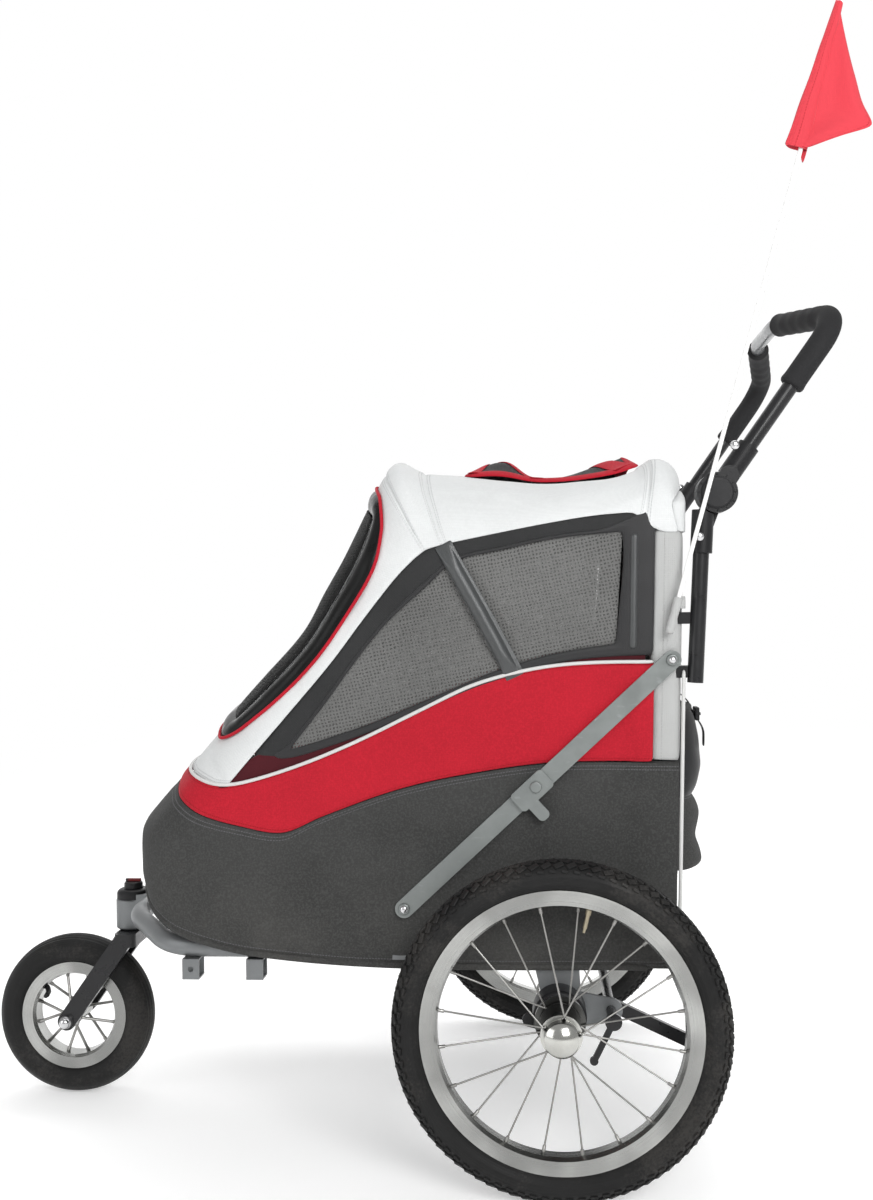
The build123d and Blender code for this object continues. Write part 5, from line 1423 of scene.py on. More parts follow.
def door_pouch(cloth):
    """The pouch's lower lobe, the pocket above it and the gathered hem."""
    bag_cloth = woven("Black cloth", (0.013, 0.013, 0.014), thread=1.2, uneven=0.2, roughness=0.6)
    for name, finish, first, last, slot, stands_for in (
            ("pouch", charcoal_cloth(cloth, (9.0, 16.0)), 0, POUCH_NOTCH, "charcoal_fabric", "rear_bag"),
            ("pouch_pocket", bag_cloth, POUCH_NOTCH - 1, POUCH_ROWS - 1, "border_fabric", ())):
        tuck = first > 0                  # the pocket starts tucked behind the lower lobe

        def part_place(i, j):
            shift = Vector((1.2 * ease(1 - j / 3), 0, -2.0 * ease(1 - j / 2)))
            return pouch_place(i, j + first) + tuck * shift

        made = sheet(POUCH_COLUMNS, last - first + 1, part_place,
                     lambda i, j: (i * 6.0, (last - first - j) * 5.0), (1, 0, 0))
        sewn_piece(name, made, finish, slot, stands_for, HATCH, 1.8)

    made = fresh()
    brim = [pouch_place(i, POUCH_ROWS - 1) + Vector((0.4, 0, -1)) for i in range(POUCH_COLUMNS)]
    tube_along(made, brim, 3.4, sides=8, flat=1.5)
    outward(made)
    sewn_piece("pouch_hem", made, charcoal_cloth(cloth), "charcoal_fabric", body=HATCH, wall=0)


def pouch_straps(paint):
    """Two straps that close the pouch, with their buckles."""
    def strap(part, side):
        def place(i, j):
            h = 172 + 96 * i / 14
            reach = 57.5 - 18 * ease((h - 190) / 36) - 33 * ease((h - 224) / 36)
            return on_back(h, reach, side * 118 + (j - 1) * 9.0)

        cloth_grid(part, 15, 3, place, toward=(1, 0, 0))

    sewn_piece("pouch_straps", on_both_sides(strap), black_tape(), "border_fabric", body=HATCH, wall=1.4)
    made = fresh()
    for _, side in SIDES:
        block(made, on_back(214, 47.0, side * 118), (6, 23, 17), edge=1.6)
        block(made, on_back(214, 50.5, side * 118), (3, 15, 4), edge=1.0)
    place_piece("pouch_buckles", made, black_plastic(paint), HATCH, slot="black_plastic", smooth=False)


class STROLLER_OT_rear_door(Operator):
    """Rear door: charcoal below, netting in a light border above, and the sagging pouch on it"""
    bl_idname = "stroller.rear_door"
    bl_label = "Rear door and pouch"

    def execute(self, context):
        scene = context.scene
        door_panel(scene.stroller_cloth)
        door_window(scene.stroller_cloth, scene.stroller_windows)
        door_pouch(scene.stroller_cloth)
        pouch_straps(scene.stroller_frame)
        return {"FINISHED"}


class STROLLER_OT_sleeves(Operator):
    """Fabric sleeves round the back frame's uprights, with the flag's pocket and the rear edge cord"""
    bl_idname = "stroller.sleeves"
    bl_label = "Sleeves"

    def execute(self, context):
        cloth = context.scene.stroller_cloth
        around, middle = 36, 225.4            # columns round a sleeve, and its distance from the middle

        def sleeve(part, side, low, high, rows, size):
            def place(i, j):
                h = low + (high - low) * j / (rows - 1)
                a, p = 2 * pi * (i % around) / around, 3.4      # a rounded box, with this exponent
                c, s = cos(a), sin(a)
                r = (abs(c) ** p + abs(s) ** p) ** (-1 / p)
                behind, out = -5.5 + 18.4 * r * c * size, 15.0 * r * s * size
                p = on_back(h, behind, side * (middle + out))
                ripple = 1.0 * sin(h / 6.5 + 1.5 * rough(p, 40, 41)) * bump(h, 232, 62)
                ripple += 0.7 * rough(p, 26, 43) + 0.9 * rough(p, 60, 45)
                ripple -= 1.6 * (bump(h, low, 5) + bump(h, high, 5))
                if behind > 6:
                    ripple = min(ripple, 0.1)
                return p + Vector((behind + 5.5, side * out, 0)).normalized() * ripple

            def off_axis(face):
                p = face.calc_center_median()
                return p - on_back(p.z - HINGE.z, -5.5, side * middle)

            cloth_grid(part, around + 1, rows, place, lambda i, j: (j * 6.0, (i % 9) * 3.0), closed=True)
            bmesh.ops.recalc_face_normals(part, faces=part.faces)
            facing(part, off_axis)

        def upper(part, side):
            sleeve(part, side, 166.8, 442.0, 42, 1.0)

        def lower(part, side):
            sleeve(part, side, 24.0, 166.2, 26, 0.99)

        def lining(part, side):
            """Closes the corner between the red band and the door."""
            cloth_grid(part, 10, 10, lambda i, j: on_back(146 + 9.5 * j, -25.2, side * (182 + 60.2 * i / 9)),
                       lambda i, j: (9.0, 9.0), (1, 0, 0))

        sewn_piece("sleeves_upper", on_both_sides(upper), sleeve_cloth(cloth), "sleeve_fabric",
                   "back_sleeves", "back")
        sewn_piece("sleeves_lower", on_both_sides(lower, lining), charcoal_cloth(cloth), "charcoal_fabric",
                   body="back")

        made = fresh()
        for _, side in SIDES:
            points = [on_back(h, 14.6 - 3.5 * ease(-h / 60), side * 242.2) for h in range(-72, 286, 12)]
            tube_along(made, points, 2.5, sides=8, flat=1.3, up=(0, 1, 0))
        outward(made)
        sewn_piece("rear_edge_cord", made, piping_cord(cloth), "white_fabric", body="back", wall=0)

        def pole_tube(part):
            line = [up_pole(-5 + 46 * k / 8) for k in range(9)]
            tube_along(part, line, lambda t: 5.3 + 0.35 * sin(9 * t), sides=16)
            outward(part)

        def pole_tab(part):
            x = on_back(354, 13.0).x + 1.4
            bend = Line([(x, -227), (x + 0.4, -240), (x, -249), (x - 3, -252), (352, -252.4)])
            cloth_grid(part, 19, 4, lambda i, j: Vector((*bend(bend.end * i / 18), 675 + 15 * j / 3)),
                       toward=away_from(352, -235, 682))

        made = fresh()
        joined(made, pole_tube)
        joined(made, pole_tab)
        sewn_piece("flag_pocket", made, sleeve_cloth(cloth), "sleeve_fabric", body="back", wall=1.2)
        return {"FINISHED"}


POLE_FOOT = Vector((341.0, -255.3, 650.0))
POLE_WAY = Vector((sin(radians(15.9)), -sin(radians(0.6)), cos(radians(15.9)))).normalized()
POLE_BACK = Vector((cos(radians(15.9)), 0, -sin(radians(15.9))))
FLAG_FOOT = 569.0                     # how far up the pole the flag's hem starts


def up_pole(height, behind=0.0, across=0.0):
    return POLE_FOOT + POLE_WAY * height + POLE_BACK * behind + Vector((0, across, 0))


class STROLLER_OT_flag(Operator):
    """Red pennant: a sewn hem round the pole's top and a cloth that hangs in folds behind it"""
    bl_idname = "stroller.flag"
    bl_label = "Flag"

    def execute(self, context):
        # Outline of the cloth: behind the pole against up it, from the hem's foot
        leading = Line([(-19, 12), (-15, 60), (-12, 100), (-9, 150), (-6, 190)])
        trailing = Line([(8, 14), (40, 36), (68, 53), (72, 58), (54, 80), (41, 103), (27, 128), (11, 160),
                         (-3, 190)])
        columns, rows = 27, 37

        def place(i, j):
            s, t = i / (columns - 1), j / (rows - 1)
            q = leading(leading.end * t).lerp(trailing(trailing.end * t), s)
            fold = 5.0 * s * sin(4.4 * s + 2.2 * t + 0.5) + 2.0 * s * sin(9 * s - 5 * t)
            return up_pole(FLAG_FOOT + q[1], q[0], fold * ease(3 - 3 * t) - 3.2 * ease(1 - t))

        made = sheet(columns, rows, place, lambda i, j: (j * 5.5, min(i, columns - 1 - i) * 3.4), (0, -1, 0),
                   closed=True)
        finish = woven("Flag cloth", (0.62, 0.040, 0.058), thread=0.7, uneven=0.04, sheen=0.2, roughness=0.7,
                       stitches=(4.0,), stitch_rgb=(0.46, 0.015, 0.025))
        flag = sewn_piece("flag_cloth", made, finish, "red_fabric", "flag", "back", 0.7, offset=0.0)

        # The hem round the pole: a flattened cone, open below, with a corner of cloth that hangs from it
        around, tall = 24, 30

        def hem_place(i, j):
            a, t = 2 * pi * i / around, j / (tall - 1)
            tip = 15.0 * bump(a, 0.35, 0.9) * ease(1 - 5 * t) - 3 * bump(a, pi, 1.2) * ease(1 - 6 * t)
            behind = -1.4 - 4.6 * (1 - t) + (4.6 + 9.0 * (1 - t) ** 1.1) * cos(a) + 0.4 * sin(16 * t)
            return up_pole(FLAG_FOOT + 12 + 178 * t - tip, behind,
                           (5.4 - 1.6 * t) * sin(a) - 1.0 * sin(9 * t) * (1 - t))

        made = sheet(around + 1, tall, hem_place, lambda i, j: (j * 6.0, (i % 8) * 3.0), closed=True)
        bmesh.ops.recalc_face_normals(made, faces=made.faces)
        closed_z = POLE_FOOT.z + FLAG_FOOT * 0.96 + 150
        top = [e for e in made.edges if e.is_boundary and min(v.co.z for v in e.verts) > closed_z]
        bmesh.ops.holes_fill(made, edges=top, sides=around + 1)
        sewn_piece("flag_hem", made, finish, "red_fabric", body="back", wall=0.7)
        return {"FINISHED"}


class STROLLER_OT_mat(Operator):
    """Floor mat: a quilted pad whose surface is swollen by a cloth simulation"""
    bl_idname = "stroller.mat"
    bl_label = "Floor mat"

    def execute(self, context):
        low, high = (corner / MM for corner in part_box("floor_mat"))
        size, middle = high - low, (high + low) / 2
        most = 0.005                          # metres that the simulation may move a point

        def quilting(p):
            """1 on the mat's sewn diamond lines, 0 between them."""
            x = p.x - middle.x
            return max(bump((x + p.y) % 90, 45, 7), bump((x - p.y) % 90, 45, 7))

        made = fresh()
        block(made, middle, (size.x - 5, size.y - 5, size.z - 2.5), edge=4.0, segments=3)
        pad = in_scene("mat_pad", mesh_of("mat_start", made))
        context.view_layer.objects.active = pad
        remesh = pad.modifiers.new("Remesh", "REMESH")
        remesh.mode, remesh.voxel_size = "VOXEL", 0.006
        bake(pad)
        before = [vert.co.copy() for vert in pad.data.vertices]
        pinned = pad.vertex_groups.new(name="seams")
        pinned.add([v.index for v in pad.data.vertices if quilting(v.co / MM) > 0.6], 1.0, "REPLACE")
        sim = pad.modifiers.new("Cloth", "CLOTH")
        sim.settings.quality = 5
        sim.settings.use_pressure = True
        sim.settings.uniform_pressure_force = 4.0
        sim.settings.vertex_group_mass = "seams"
        sim.settings.effector_weights.gravity = 0.0
        sim.point_cache.frame_start, sim.point_cache.frame_end = 1, 20
        for step in range(1, 21):
            context.scene.frame_set(step)
        bake(pad)
        context.scene.frame_set(1)
        for vert, old in zip(pad.data.vertices, before):
            move = vert.co - old
            if move.length > most:
                vert.co = old + move.normalized() * most
            p = vert.co / MM
            if p.z > middle.z:
                vert.co.z += (1.0 - 3.2 * quilting(p) + 0.7 * noise.noise(p / 40)) * MM
            vert.co.z = min(max(vert.co.z, (low.z - 0.2) * MM), (high.z + 2.5) * MM)
        for face in pad.data.polygons:
            face.use_smooth = True
        pad.data.materials.append(woven("Mat cloth", (0.085, 0.086, 0.09), thread=1.3, uneven=0.12))
        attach(pad, "chassis")
        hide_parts("floor_mat")
        return {"FINISHED"}


def bake(piece):
    """Applies a piece's modifiers to its mesh."""
    graph = bpy.context.evaluated_depsgraph_get()
    mesh = bpy.data.meshes.new_from_object(piece.evaluated_get(graph), depsgraph=graph)
    piece.modifiers.clear()
    old = piece.data
    piece.data = mesh
    bpy.data.meshes.remove(old)


ARM = Vector((cos(radians(54.5)), 0, sin(radians(54.5))))
ARM_UP = Vector((-sin(radians(54.5)), 0, cos(radians(54.5))))
HANDLE_HINGE = Vector((400.0, 0, 812.0))


def handle_centre(side):
    """Middle line of the handle's tube on one side: up the arm, round the corner, along the cross bar."""
    bend = 42.0                           # radius of the tube's corner
    out, spread = Vector((0, side * 237, 0)), Vector((0, side * 58, 0))
    root, corner = HANDLE_HINGE + ARM * 46 + out, HANDLE_HINGE + ARM * 256 + out
    crown = HANDLE_HINGE + ARM * 256 + ARM_UP * 50 + spread
    into, away = (corner - root).normalized(), (crown - corner).normalized()
    half_turn = (pi - into.angle(-away)) / 2
    a, b = corner - into * bend * tan(half_turn), corner + away * bend * tan(half_turn)
    centre = corner + ((a + b) / 2 - corner).normalized() * (bend / cos(half_turn))
    arc = [centre + (a.lerp(b, k / 12) - centre).normalized() * bend for k in range(13)]
    return Line([root.lerp(a, k / 8) for k in range(8)] + arc + [b.lerp(crown, k / 8) for k in range(1, 9)])


class STROLLER_OT_grips(Operator):
    """Foam grips: swollen ends, finger waves underneath and a fine skin, on both sides of the handle"""
    bl_idname = "stroller.grips"
    bl_label = "Grips"

    def execute(self, context):
        foam = coated("Foam", context.scene.stroller_frame.foam, roughness=0.8, grain=0.7, pebble=1.5,
                      scuff=0.2, spec=0.25)

        def size(t):
            return (14.6 + 1.5 * ease(1 - t / 0.05) + 1.5 * ease((t - 0.95) / 0.05)
                    + 0.35 * sin(t * 60) * ease((t - 0.46) / 0.1) * ease((0.97 - t) / 0.05)
                    - 2.8 * ease(1 - t / 0.012) - 2.8 * ease((t - 0.988) / 0.012))

        def grip(part, side):
            centre = handle_centre(side)
            start, stop = 106.0, centre.end - 15
            tube_along(part, [centre(start + (stop - start) * k / 60) for k in range(61)], size, sides=20)
            outward(part)

        grips = subdivided(place_piece("handle_grips", on_both_sides(grip), foam, "handle", "grips",
                                       "foam_grip"))
        return {"FINISHED"}


class STROLLER_OT_frame_finishes(Operator):
    """Paint, plating, plastic and aluminium on the frame's own pieces"""
    bl_idname = "stroller.frame_finishes"
    bl_label = "Frame finishes"

    def execute(self, context):
        paint = context.scene.stroller_frame
        wheels = context.scene.stroller_wheels
        grey, black, plastic = grey_paint(paint), black_paint(paint), black_plastic(paint)
        brace = coated("Brace paint", paint.brace, roughness=0.38, metallic=0.5, scuff=0.7)
        floor = coated("Floor board", (0.02, 0.02, 0.022), roughness=0.6, grain=0.6, pebble=2.4)
        rod = coated("White rod", (0.86, 0.86, 0.85), roughness=0.28, scuff=0.2, uneven=0.03)
        bow = coated("Bow tube", (0.03, 0.031, 0.033), roughness=0.4, metallic=0.3)
        finishes = {grey: ("base_frame", "cross_tubes", "axle_beam", "axle_plates", "head_housing",
                           "tow_sockets", "frame_brackets"),
                    plastic: ("axle_housings", "head_cap", "tube_clamps", "hinge_sockets", "hinge_arms",
                              "hinge_button_left", "hinge_button_right"),
                    black: ("fork", "brake_bar", "back_frame", "handle_tubes"),
                    brace: ("brace_lower_left", "brace_lower_right", "brace_upper_left", "brace_upper_right",
                            "latch_left", "latch_right", "brace_pins", "frame_pins"),
                    zinc(): ("wheel_axles", "nose_axle"), floor: ("floor_board",),
                    knob_plastic(paint): ("swivel_knob",), rod: ("flag_pole",), bow: ("roof_bow",),
                    handle_tube_paint(paint): ("handle_bar",),
                    hub_finish(): ("rear_hub_left", "rear_hub_right"), spoke_steel(): ("nose_spokes",)}
        # The rims get patches of painted reflection
        for name, side in SIDES:
            finishes[brushed("Rear rim " + name, wheels.rim, roughness=0.24, centre=rear_axle(side),
                             painted_reflection=0.55)] = ("rear_rim_" + name,)
        finishes[brushed("Nose rim", wheels.rim, roughness=0.24, centre=NOSE_AXLE,
                         painted_reflection=0.6)] = ("nose_rim", "nose_hub")
        for finish, nodes in finishes.items():
            for node in nodes:
                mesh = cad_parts[node].data
                if not mesh.materials:
                    mesh.materials.append(finish)
                for index in range(len(mesh.materials)):
                    mesh.materials[index] = finish
        return {"FINISHED"}


def hub_finish():
    """Polished cap, a dark groove behind it, and a smoked barrel with turned rings."""
    made, tree, shader, coords = bare_finish("Hub", Metallic=1.0)
    out = calc(tree, "ABSOLUTE", coordinate(tree, coords["Object"], 1))
    cap = remap(tree, out, 0.3372, 0.3378)
    ring = calc(tree, "MULTIPLY", remap(tree, out, 0.3212, 0.3216),
                remap(tree, out, 0.3238, 0.3244, 1.0, 0.0))
    rings = calc(tree, "SINE", calc(tree, "MULTIPLY", out, 1400.0))
    wear = use(tree, "wear", Place=coords["Object"], Scuff=0.4)
    barrel = blend_colours(tree, remap(tree, rings, -1.0, 1.0), (0.045, 0.045, 0.043, 1),
                           (0.12, 0.12, 0.115, 1))
    polish = blend_colours(tree, wear["Polish"], (0.50, 0.50, 0.47, 1), (0.60, 0.60, 0.57, 1))
    base = blend_colours(tree, calc(tree, "MAXIMUM", cap, ring), barrel, polish)
    dressed(tree, shader, [(wear["Scuffs"], 0.00004, 0.4)], Base_Color=base,
            Roughness=remap(tree, cap, 0.0, 1.0, 0.3, 0.16))
    return made


def handle_tube_paint(paint):
    """Gloss black tube whose bare stretch between the grips is silver grey."""
    made, tree, shader, coords = bare_finish("Handle tube", Coat_Weight=0.15, Coat_Roughness=0.15,
                                             Specular_IOR_Level=0.3)
    across = calc(tree, "ABSOLUTE", coordinate(tree, coords["Object"], 1))
    bare = remap(tree, across, 0.085, 0.0855, 1.0, 0.0)
    wear = use(tree, "wear", Place=coords["Object"], Scuff=0.5)
    dark = blend_colours(tree, wear["Polish"], colour(paint.black, 0.9), colour(paint.black, 1.2))
    pale = blend_colours(tree, wear["Polish"], (0.15, 0.155, 0.16, 1), (0.20, 0.205, 0.21, 1))
    dressed(tree, shader, [(wear["Scuffs"], 0.00004, 0.3)], Base_Color=blend_colours(tree, bare, dark, pale),
            Metallic=calc(tree, "MULTIPLY", bare, 0.6),
            Roughness=remap(tree, wear["Polish"], 0, 1, 0.26, 0.38))
    return made


def knob_plastic(paint):
    """Black plastic knob with a dull red top."""
    made, tree, shader, coords = bare_finish("Knob plastic", Roughness=0.35, Specular_IOR_Level=0.25)
    place = coords["Object"]
    red = calc(tree, "MULTIPLY", remap(tree, coordinate(tree, place, 2), 0.2975, 0.2985),
               remap(tree, coordinate(tree, place, 0), -0.401, -0.396))
    grain = use(tree, "grain", Place=place, Pebble=0.9 * MM)["Height"]
    dressed(tree, shader, [(grain, 0.0002, 0.4)],
            Base_Color=blend_colours(tree, red, colour(paint.plastic), colour(paint.knob)))
    return made


def rubber(wheels, name, centre):
    """Tyre rubber: fine moulded rings round the axle, a light bloom and dust in the tread."""
    made, tree, shader, coords = bare_finish(name, Specular_IOR_Level=0.18, Sheen_Weight=0.02)
    rings = calc(tree, "SINE", calc(tree, "MULTIPLY", off_axle(tree, coords["Object"], centre), 2600.0))
    wear = use(tree, "wear", Place=coords["Object"], Scuff=0.3)
    mottle = use(tree, "mottle", Place=coords["Object"], Patch=0.07)
    base = blend_colours(tree, wear["Polish"], colour(wheels.rubber, 0.85), colour(wheels.rubber, 1.35))
    dust = calc(tree, "MULTIPLY", remap(tree, mottle["Shade"], 0.45, 0.95), 0.09)
    grain = use(tree, "grain", Place=coords["Object"], Pebble=1.1 * MM)["Height"]
    dressed(tree, shader, [(rings, 0.00012, 0.35), (grain, 0.00015, 0.4)],
            Base_Color=blend_colours(tree, dust, base, (0.22, 0.20, 0.18, 1)),
            Roughness=remap(tree, wear["Polish"], 0, 1, 0.5, 0.66))
    return made


class STROLLER_OT_tyres(Operator):
    """Rear tyres with rows of slanted blocks, and the smoother nose tyre"""
    bl_idname = "stroller.tyres"
    bl_label = "Tyres"

    def execute(self, context):
        wheels = context.scene.stroller_wheels
        top, height = wheels.rear_radius / MM, wheels.block_height / MM
        crown = top - height
        half = [(158.5, 10.6), (162.2, 11.2), (163.6, 13.4), (166.0, 16.0), (169.4, 18.4), (170.6, 19.8),
                (172.0, 19.5), (174.0, 20.2), (177.5, 20.7), (178.6, 21.5), (180.0, 20.8), (183.0, 19.6),
                (186.2, 17.0), (189.0, 13.4), (191.2, 8.6), (crown - 0.2, 4.2), (crown, 0.0)]
        for name, side in SIDES:
            finish, body = rubber(wheels, "Rear rubber " + name, rear_axle(side)), "rear_wheel_" + name
            made = fresh()
            tyre_ring(made, half, 120, rear_axle(side))
            subdivided(place_piece("tyre_" + name, made, finish, body, "rear_tyre_" + name, "tyre_rubber"))
            made = fresh()
            # Rows of blocks: radius, distance across, tilt, slant, length, width and a shift along the tread
            for radius, across, tilt, slant, length, wide, shift in (
                    (crown - 0.1, 4.0, 10, 24, 12.4, 6.0, 0.0), (crown - 0.1, -4.0, -10, -24, 12.4, 6.0, 0.5),
                    (190.0, 12.2, 38, -30, 11.6, 6.4, 0.5), (190.0, -12.2, -38, 30, 11.6, 6.4, 0.0),
                    (184.6, 18.3, 66, 8, 8.4, 3.6, 0.0), (184.6, -18.3, -66, -8, 8.4, 3.6, 0.5)):
                for k in range(wheels.blocks):
                    angle = 2 * pi * (k + shift) / wheels.blocks
                    matrix = (Matrix.Rotation(angle, 4, "Y") @ Matrix.Translation((radius, across, 0))
                              @ Matrix.Rotation(radians(tilt), 4, "Z")
                              @ Matrix.Rotation(radians(slant), 4, "X")
                              @ Matrix.Diagonal((height * 2, wide, length, 1)))
                    bmesh.ops.create_cube(made, size=1.0, matrix=matrix)
            rounded(made, list(made.edges), 0.7)
            bmesh.ops.translate(made, vec=rear_axle(side), verts=made.verts)
            place_piece("tread_" + name, made, finish, body, slot="tyre_rubber", smooth=False)

        made = fresh()
        half = [(71.5, 13.6), (75.0, 14.4), (76.4, 17.4), (79.5, 20.6), (84.0, 23.0), (86.0, 24.3),
                (88.0, 24.0), (92.0, 24.5), (97.0, 23.6), (101.5, 20.8), (104.8, 17.0), (106.6, 15.2),
                (107.2, 13.6), (107.0, 12.6), (108.6, 11.2), (109.6, 8.4), (109.4, 7.4), (110.6, 6.2),
                (111.2, 3.2), (111.0, 1.2), (111.2, 0.6), (111.5, 0.0)]
        tyre_ring(made, half, 96, NOSE_AXLE)
        subdivided(place_piece("nose_tyre_dressed", made, rubber(wheels, "Nose rubber", NOSE_AXLE),
                               "nose_wheel", "nose_tyre", "tyre_rubber"))
        return {"FINISHED"}


class STROLLER_OT_spokes(Operator):
    """Laced spokes with their heads and nipples, and the valves"""
    bl_idname = "stroller.spokes"
    bl_label = "Spokes and valves"

    def execute(self, context):
        wheels = context.scene.stroller_wheels
        count, thick = wheels.spokes, wheels.spoke_radius / MM
        brass = coated("Brass", (0.34, 0.30, 0.22), roughness=0.35, metallic=1.0, scuff=0.4)
        for name, side in SIDES:
            made = fresh()
            for k in range(count):
                rim_turn = 2 * pi * (k + 0.5) / count
                flange = -1 if k % 2 else 1
                lead = (1 if (k // 2) % 2 else -1) * radians(20)
                hub_turn = rim_turn + lead
                hub = Vector((21.2 * cos(hub_turn), flange * 24.5, 21.2 * sin(hub_turn)))
                rim = Vector((147.5 * cos(rim_turn), flange * 3.0, 147.5 * sin(rim_turn)))
                way = (rim - hub).normalized()
                tube_along(made, [hub, hub + way * 1.5, rim - way * 13, rim], thick, sides=8)
                tube_along(made, [rim - way * 12.5, rim - way * 12, rim - way * 0.5, rim + way * 0.5],
                           lambda t: 2.1 - 0.4 * (t < 0.1), sides=8)
                lathe(made, [(-1.6, 0.0), (-1.6, 1.9), (1.6, 1.9), (1.6, 0.0)], hub, steps=10)
            outward(made)
            bmesh.ops.translate(made, vec=rear_axle(side), verts=made.verts)
            place_piece("spokes_" + name, made, spoke_steel(), "rear_wheel_" + name, "rear_spokes_" + name,
                        "spoke_steel")
            made = fresh()
            way = Vector((cos(radians(76)), 0, sin(radians(76))))
            start = rear_axle(side) + way * 145.5
            tube_along(made, [start - way * down for down in (0, 10, 10.1, 26, 26.1, 31)],
                       lambda t: (3.4, 3.4, 2.6, 2.6, 1.9, 1.6)[round(t * 5)], sides=14)
            outward(made)
            place_piece("valve_" + name, made, brass, "rear_wheel_" + name, slot="zinc_steel", smooth=False)
        made = fresh()
        way = Vector((cos(radians(142)), 0, sin(radians(142))))
        start = NOSE_AXLE + way * 60.5
        bend = [start - way * down - Vector((0, out, 0))
                for down, out in ((0, 0), (6, 3), (11, 10), (13, 20), (13.4, 26))]
        tube_along(made, bend, lambda t: 3.6 - 0.8 * (t > 0.8), sides=14)
        outward(made)
        place_piece("valve_nose", made, black_plastic(context.scene.stroller_frame), "nose_wheel",
                    slot="black_plastic")
        return {"FINISHED"}


class STROLLER_OT_fittings(Operator):
    """Bolts, rivets, hinge discs and fork details in their own metals"""
    bl_idname = "stroller.fittings"
    bl_label = "Fittings"

    def execute(self, context):
        bolt, plastic = bright_steel(), black_plastic(context.scene.stroller_frame)
        # Name, body, sides, radius and height of the heads, and where they are on the right-hand side
        for name, body, sides, radius, height, *places in (
                ("hinge_bolts", "handle", (-1, 1), 5.6, 3.0, (421, 250.0, 867), (378, 250.0, 760)),
                ("brace_rivets", "back", (-1, 1), 4.4, 2.6, (344, 252.4, 614.9)),
                ("foot_rivets", "chassis", (-1, 1), 4.6, 2.6, (21, 248.5, 319)),
                ("latch_rivet_left", "upper_brace_left", (-1,), 4.8, 2.8, (181, 251.9, 465.6)),
                ("latch_rivet_right", "upper_brace_right", (1,), 4.8, 2.8, (181, 251.9, 465.6)),
                ("axle_nuts", "nose_fork", (-1, 1), 7.4, 5.0, (-475, 53.9, 111.6))):
            made = fresh()
            for side in sides:
                for x, y, z in places:
                    dome(made, (x, side * y, z), radius, height, side)
            place_piece(name, made, bolt, body, slot="chrome")

        made = fresh()
        for name, side in SIDES:
            lathe(made, [(side * h, r) for h, r in ((249.6, 0.0), (252.4, 0.0), (252.4, 17.0), (251.6, 19.0),
                                                   (249.6, 19.4), (249.6, 0.0))], (400, 0, 812), 48)
            for k in range(12):
                a = 2 * pi * k / 12
                block(made, (400 + 21.4 * cos(a), side * 250.4, 812 + 21.4 * sin(a)), (2.4, 1.6, 1.4),
                      Matrix.Rotation(-a, 4, "Y"), edge=0.4, segments=1)
        outward(made)
        place_piece("hinge_discs", made, plastic, "handle", slot="black_plastic", smooth=False)
        return {"FINISHED"}


def studio_floor(studio):
    """A pale floor that curves up behind; it is as white as the world far away, to the camera alone."""
    half_width, length, front = 40.0, 34.0, -24.0     # metres
    bend_at, radius = 1.2, 3.0                        # where the floor starts to curve up, and its radius
    white_from, fade_over = 1.1, 1.6                  # distances from the stroller
    made = fresh()
    bmesh.ops.create_grid(made, x_segments=160, y_segments=240, size=1.0)
    for vert in made.verts:
        x, run = vert.co.x * half_width, (vert.co.y + 1) * length / 2 + front
        past = max(run - bend_at, 0.0)
        arc = min(past / radius, pi / 2)
        rise = max(past - radius * pi / 2, 0.0)
        vert.co = Vector((x, min(run, bend_at) + radius * sin(arc), radius * (1 - cos(arc)) + rise))
    far = made.verts.layers.float.new("far")
    for vert in made.verts:
        vert[far] = ease((hypot(vert.co.x, vert.co.y) - white_from) / fade_over)
    floor = in_scene("studio_floor", mesh_of("floor", made, 1.0))
    finish, tree, shader, coords = bare_finish("Studio floor", Roughness=0.75, Specular_IOR_Level=0.15,
                                               Emission_Color=WHITE, Emission_Strength=studio.floor_glow)
    mottle = use(tree, "mottle", Place=coords["Object"], Patch=1.6)
    tree.links.new(blend_colours(tree, mottle["Shade"], colour(studio.floor, 0.985),
                                 colour(studio.floor, 1.01)),
                   shader.inputs["Base Color"])
    distance = wire(tree, "Attribute", attribute_name="far").outputs["Fac"]
    seen = wire(tree, "LightPath").outputs["Is Camera Ray"]
    fade = wire(tree, "MixShader", {0: calc(tree, "MULTIPLY", distance, seen), 1: shader.outputs[0],
                                    2: wire(tree, "Emission").outputs[0]}).outputs[0]
    tree.links.new(fade, tree.nodes["Material Output"].inputs[0])
    floor.data.materials.append(finish)


def surround(scene, studio):
    """Even light all round, and a white world to the camera."""
    world = bpy.data.worlds.new("Studio")
    scene.world = world
    world.use_nodes = True
    tree = world.node_tree
    lit, seen = (wire(tree, "Background", {0: WHITE, 1: power}).outputs[0] for power in (studio.world, 1.0))
    camera_ray = wire(tree, "LightPath").outputs["Is Camera Ray"]
    choice = wire(tree, "MixShader", {0: camera_ray, 1: lit, 2: seen})
    tree.links.new(choice.outputs[0], tree.nodes["World Output"].inputs[0])


def lamps(studio):
    """Soft lights that face the stroller, and one that lights the backdrop."""
    for name, place, target, size, power in (
            ("key", (1.2, -2.7, 1.9), (0, 0, 0.5), 1.5, studio.key_power),
            ("fill", (-2.5, -1.9, 1.3), (0, 0, 0.5), 2.0, studio.fill_power),
            ("top", (0.2, 0.3, 3.2), (0, 0, 0.5), 2.0, studio.key_power * 0.12),
            ("back", (0.0, 1.4, 3.4), (0, 4.2, 1.2), 3.0, studio.key_power * 1.5)):
        light = bpy.data.lights.new(name, "AREA")
        light.size, light.energy = size, power
        lamp = in_scene(name, light)
        lamp.location = place
        lamp.rotation_euler = (Vector(target) - Vector(place)).to_track_quat("-Z", "Y").to_euler()


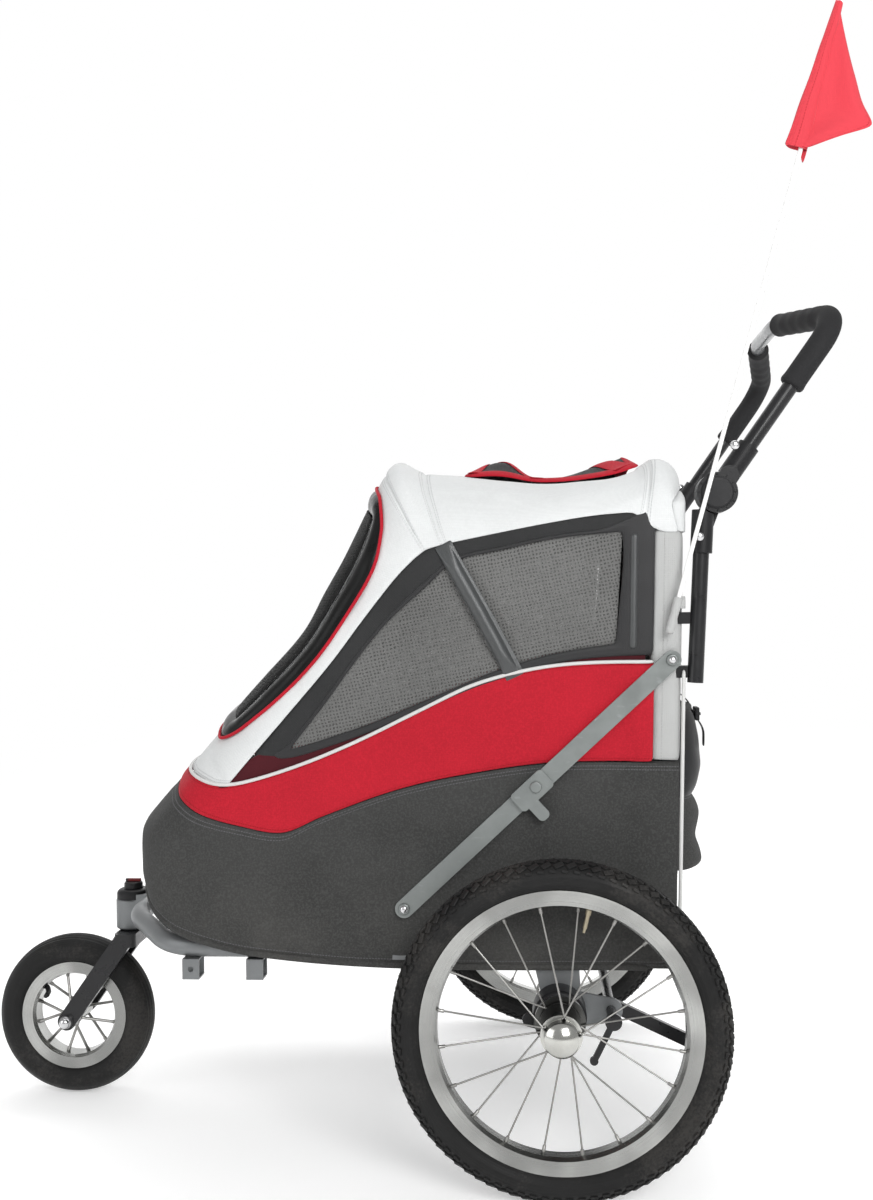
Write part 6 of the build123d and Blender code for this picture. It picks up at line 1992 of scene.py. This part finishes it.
def camera_beside(scene, studio):
    """The camera stands level with the cloth, to the left of the stroller."""
    lens = bpy.data.cameras.new("camera")
    lens.lens = studio.lens
    camera = in_scene("camera", lens)
    right = Vector((0.99723988, 0.07282729, -0.01444996))
    up = Vector((0.01512796, -0.00876668, 0.99984713))
    back = Vector((0.07268948, -0.99730604, -0.00984421))
    turn = Matrix((right, up, back)).transposed().to_4x4()
    camera.matrix_world = Matrix.Translation((0.1714, -1.69903, 0.67545)) @ turn
    scene.camera = camera


class STROLLER_OT_studio(Operator):
    """Pale floor that curves up behind, soft lights and the camera"""
    bl_idname = "stroller.studio"
    bl_label = "Studio"

    def execute(self, context):
        studio = context.scene.stroller_studio
        context.scene.view_settings.view_transform = "Standard"
        studio_floor(studio)
        surround(context.scene, studio)
        lamps(studio)
        camera_beside(context.scene, studio)
        return {"FINISHED"}


# ---------------------------------------------------------------- panel and running
STEPS = [STROLLER_OT_studio, STROLLER_OT_frame_finishes, STROLLER_OT_tyres, STROLLER_OT_spokes,
         STROLLER_OT_fittings, STROLLER_OT_tub, STROLLER_OT_canopy, STROLLER_OT_side_windows,
         STROLLER_OT_front_window, STROLLER_OT_roof_hatch, STROLLER_OT_rear_door, STROLLER_OT_sleeves,
         STROLLER_OT_flag, STROLLER_OT_mat, STROLLER_OT_grips]


class STROLLER_PT_panel(Panel):
    """The stroller's steps and sizes, in the 3D view's sidebar"""
    bl_idname = "STROLLER_PT_panel"
    bl_label = "Pet stroller"
    bl_space_type = "VIEW_3D"
    bl_region_type = "UI"
    bl_category = "Stroller"

    def draw(self, context):
        column = self.layout.column(align=True)
        for step in STEPS:
            column.operator(step.bl_idname)
        for name, group in GROUPS.items():
            box = self.layout.box()
            for key in group.__annotations__:
                box.prop(getattr(context.scene, name), key)


def register():
    for group in GROUPS.values():
        bpy.utils.register_class(group)
    for step in STEPS + [STROLLER_PT_panel]:
        bpy.utils.register_class(step)
    for name, group in GROUPS.items():
        setattr(bpy.types.Scene, name, PointerProperty(type=group))


def unregister():
    for name in GROUPS:
        delattr(bpy.types.Scene, name)
    for step in [STROLLER_PT_panel] + STEPS[::-1]:
        bpy.utils.unregister_class(step)
    for group in reversed(list(GROUPS.values())):
        bpy.utils.unregister_class(group)


def main():
    register()
    for step in STEPS:
        family, action = step.bl_idname.split(".")
        getattr(getattr(bpy.ops, family), action)()


if __name__ == "__main__":
    main()
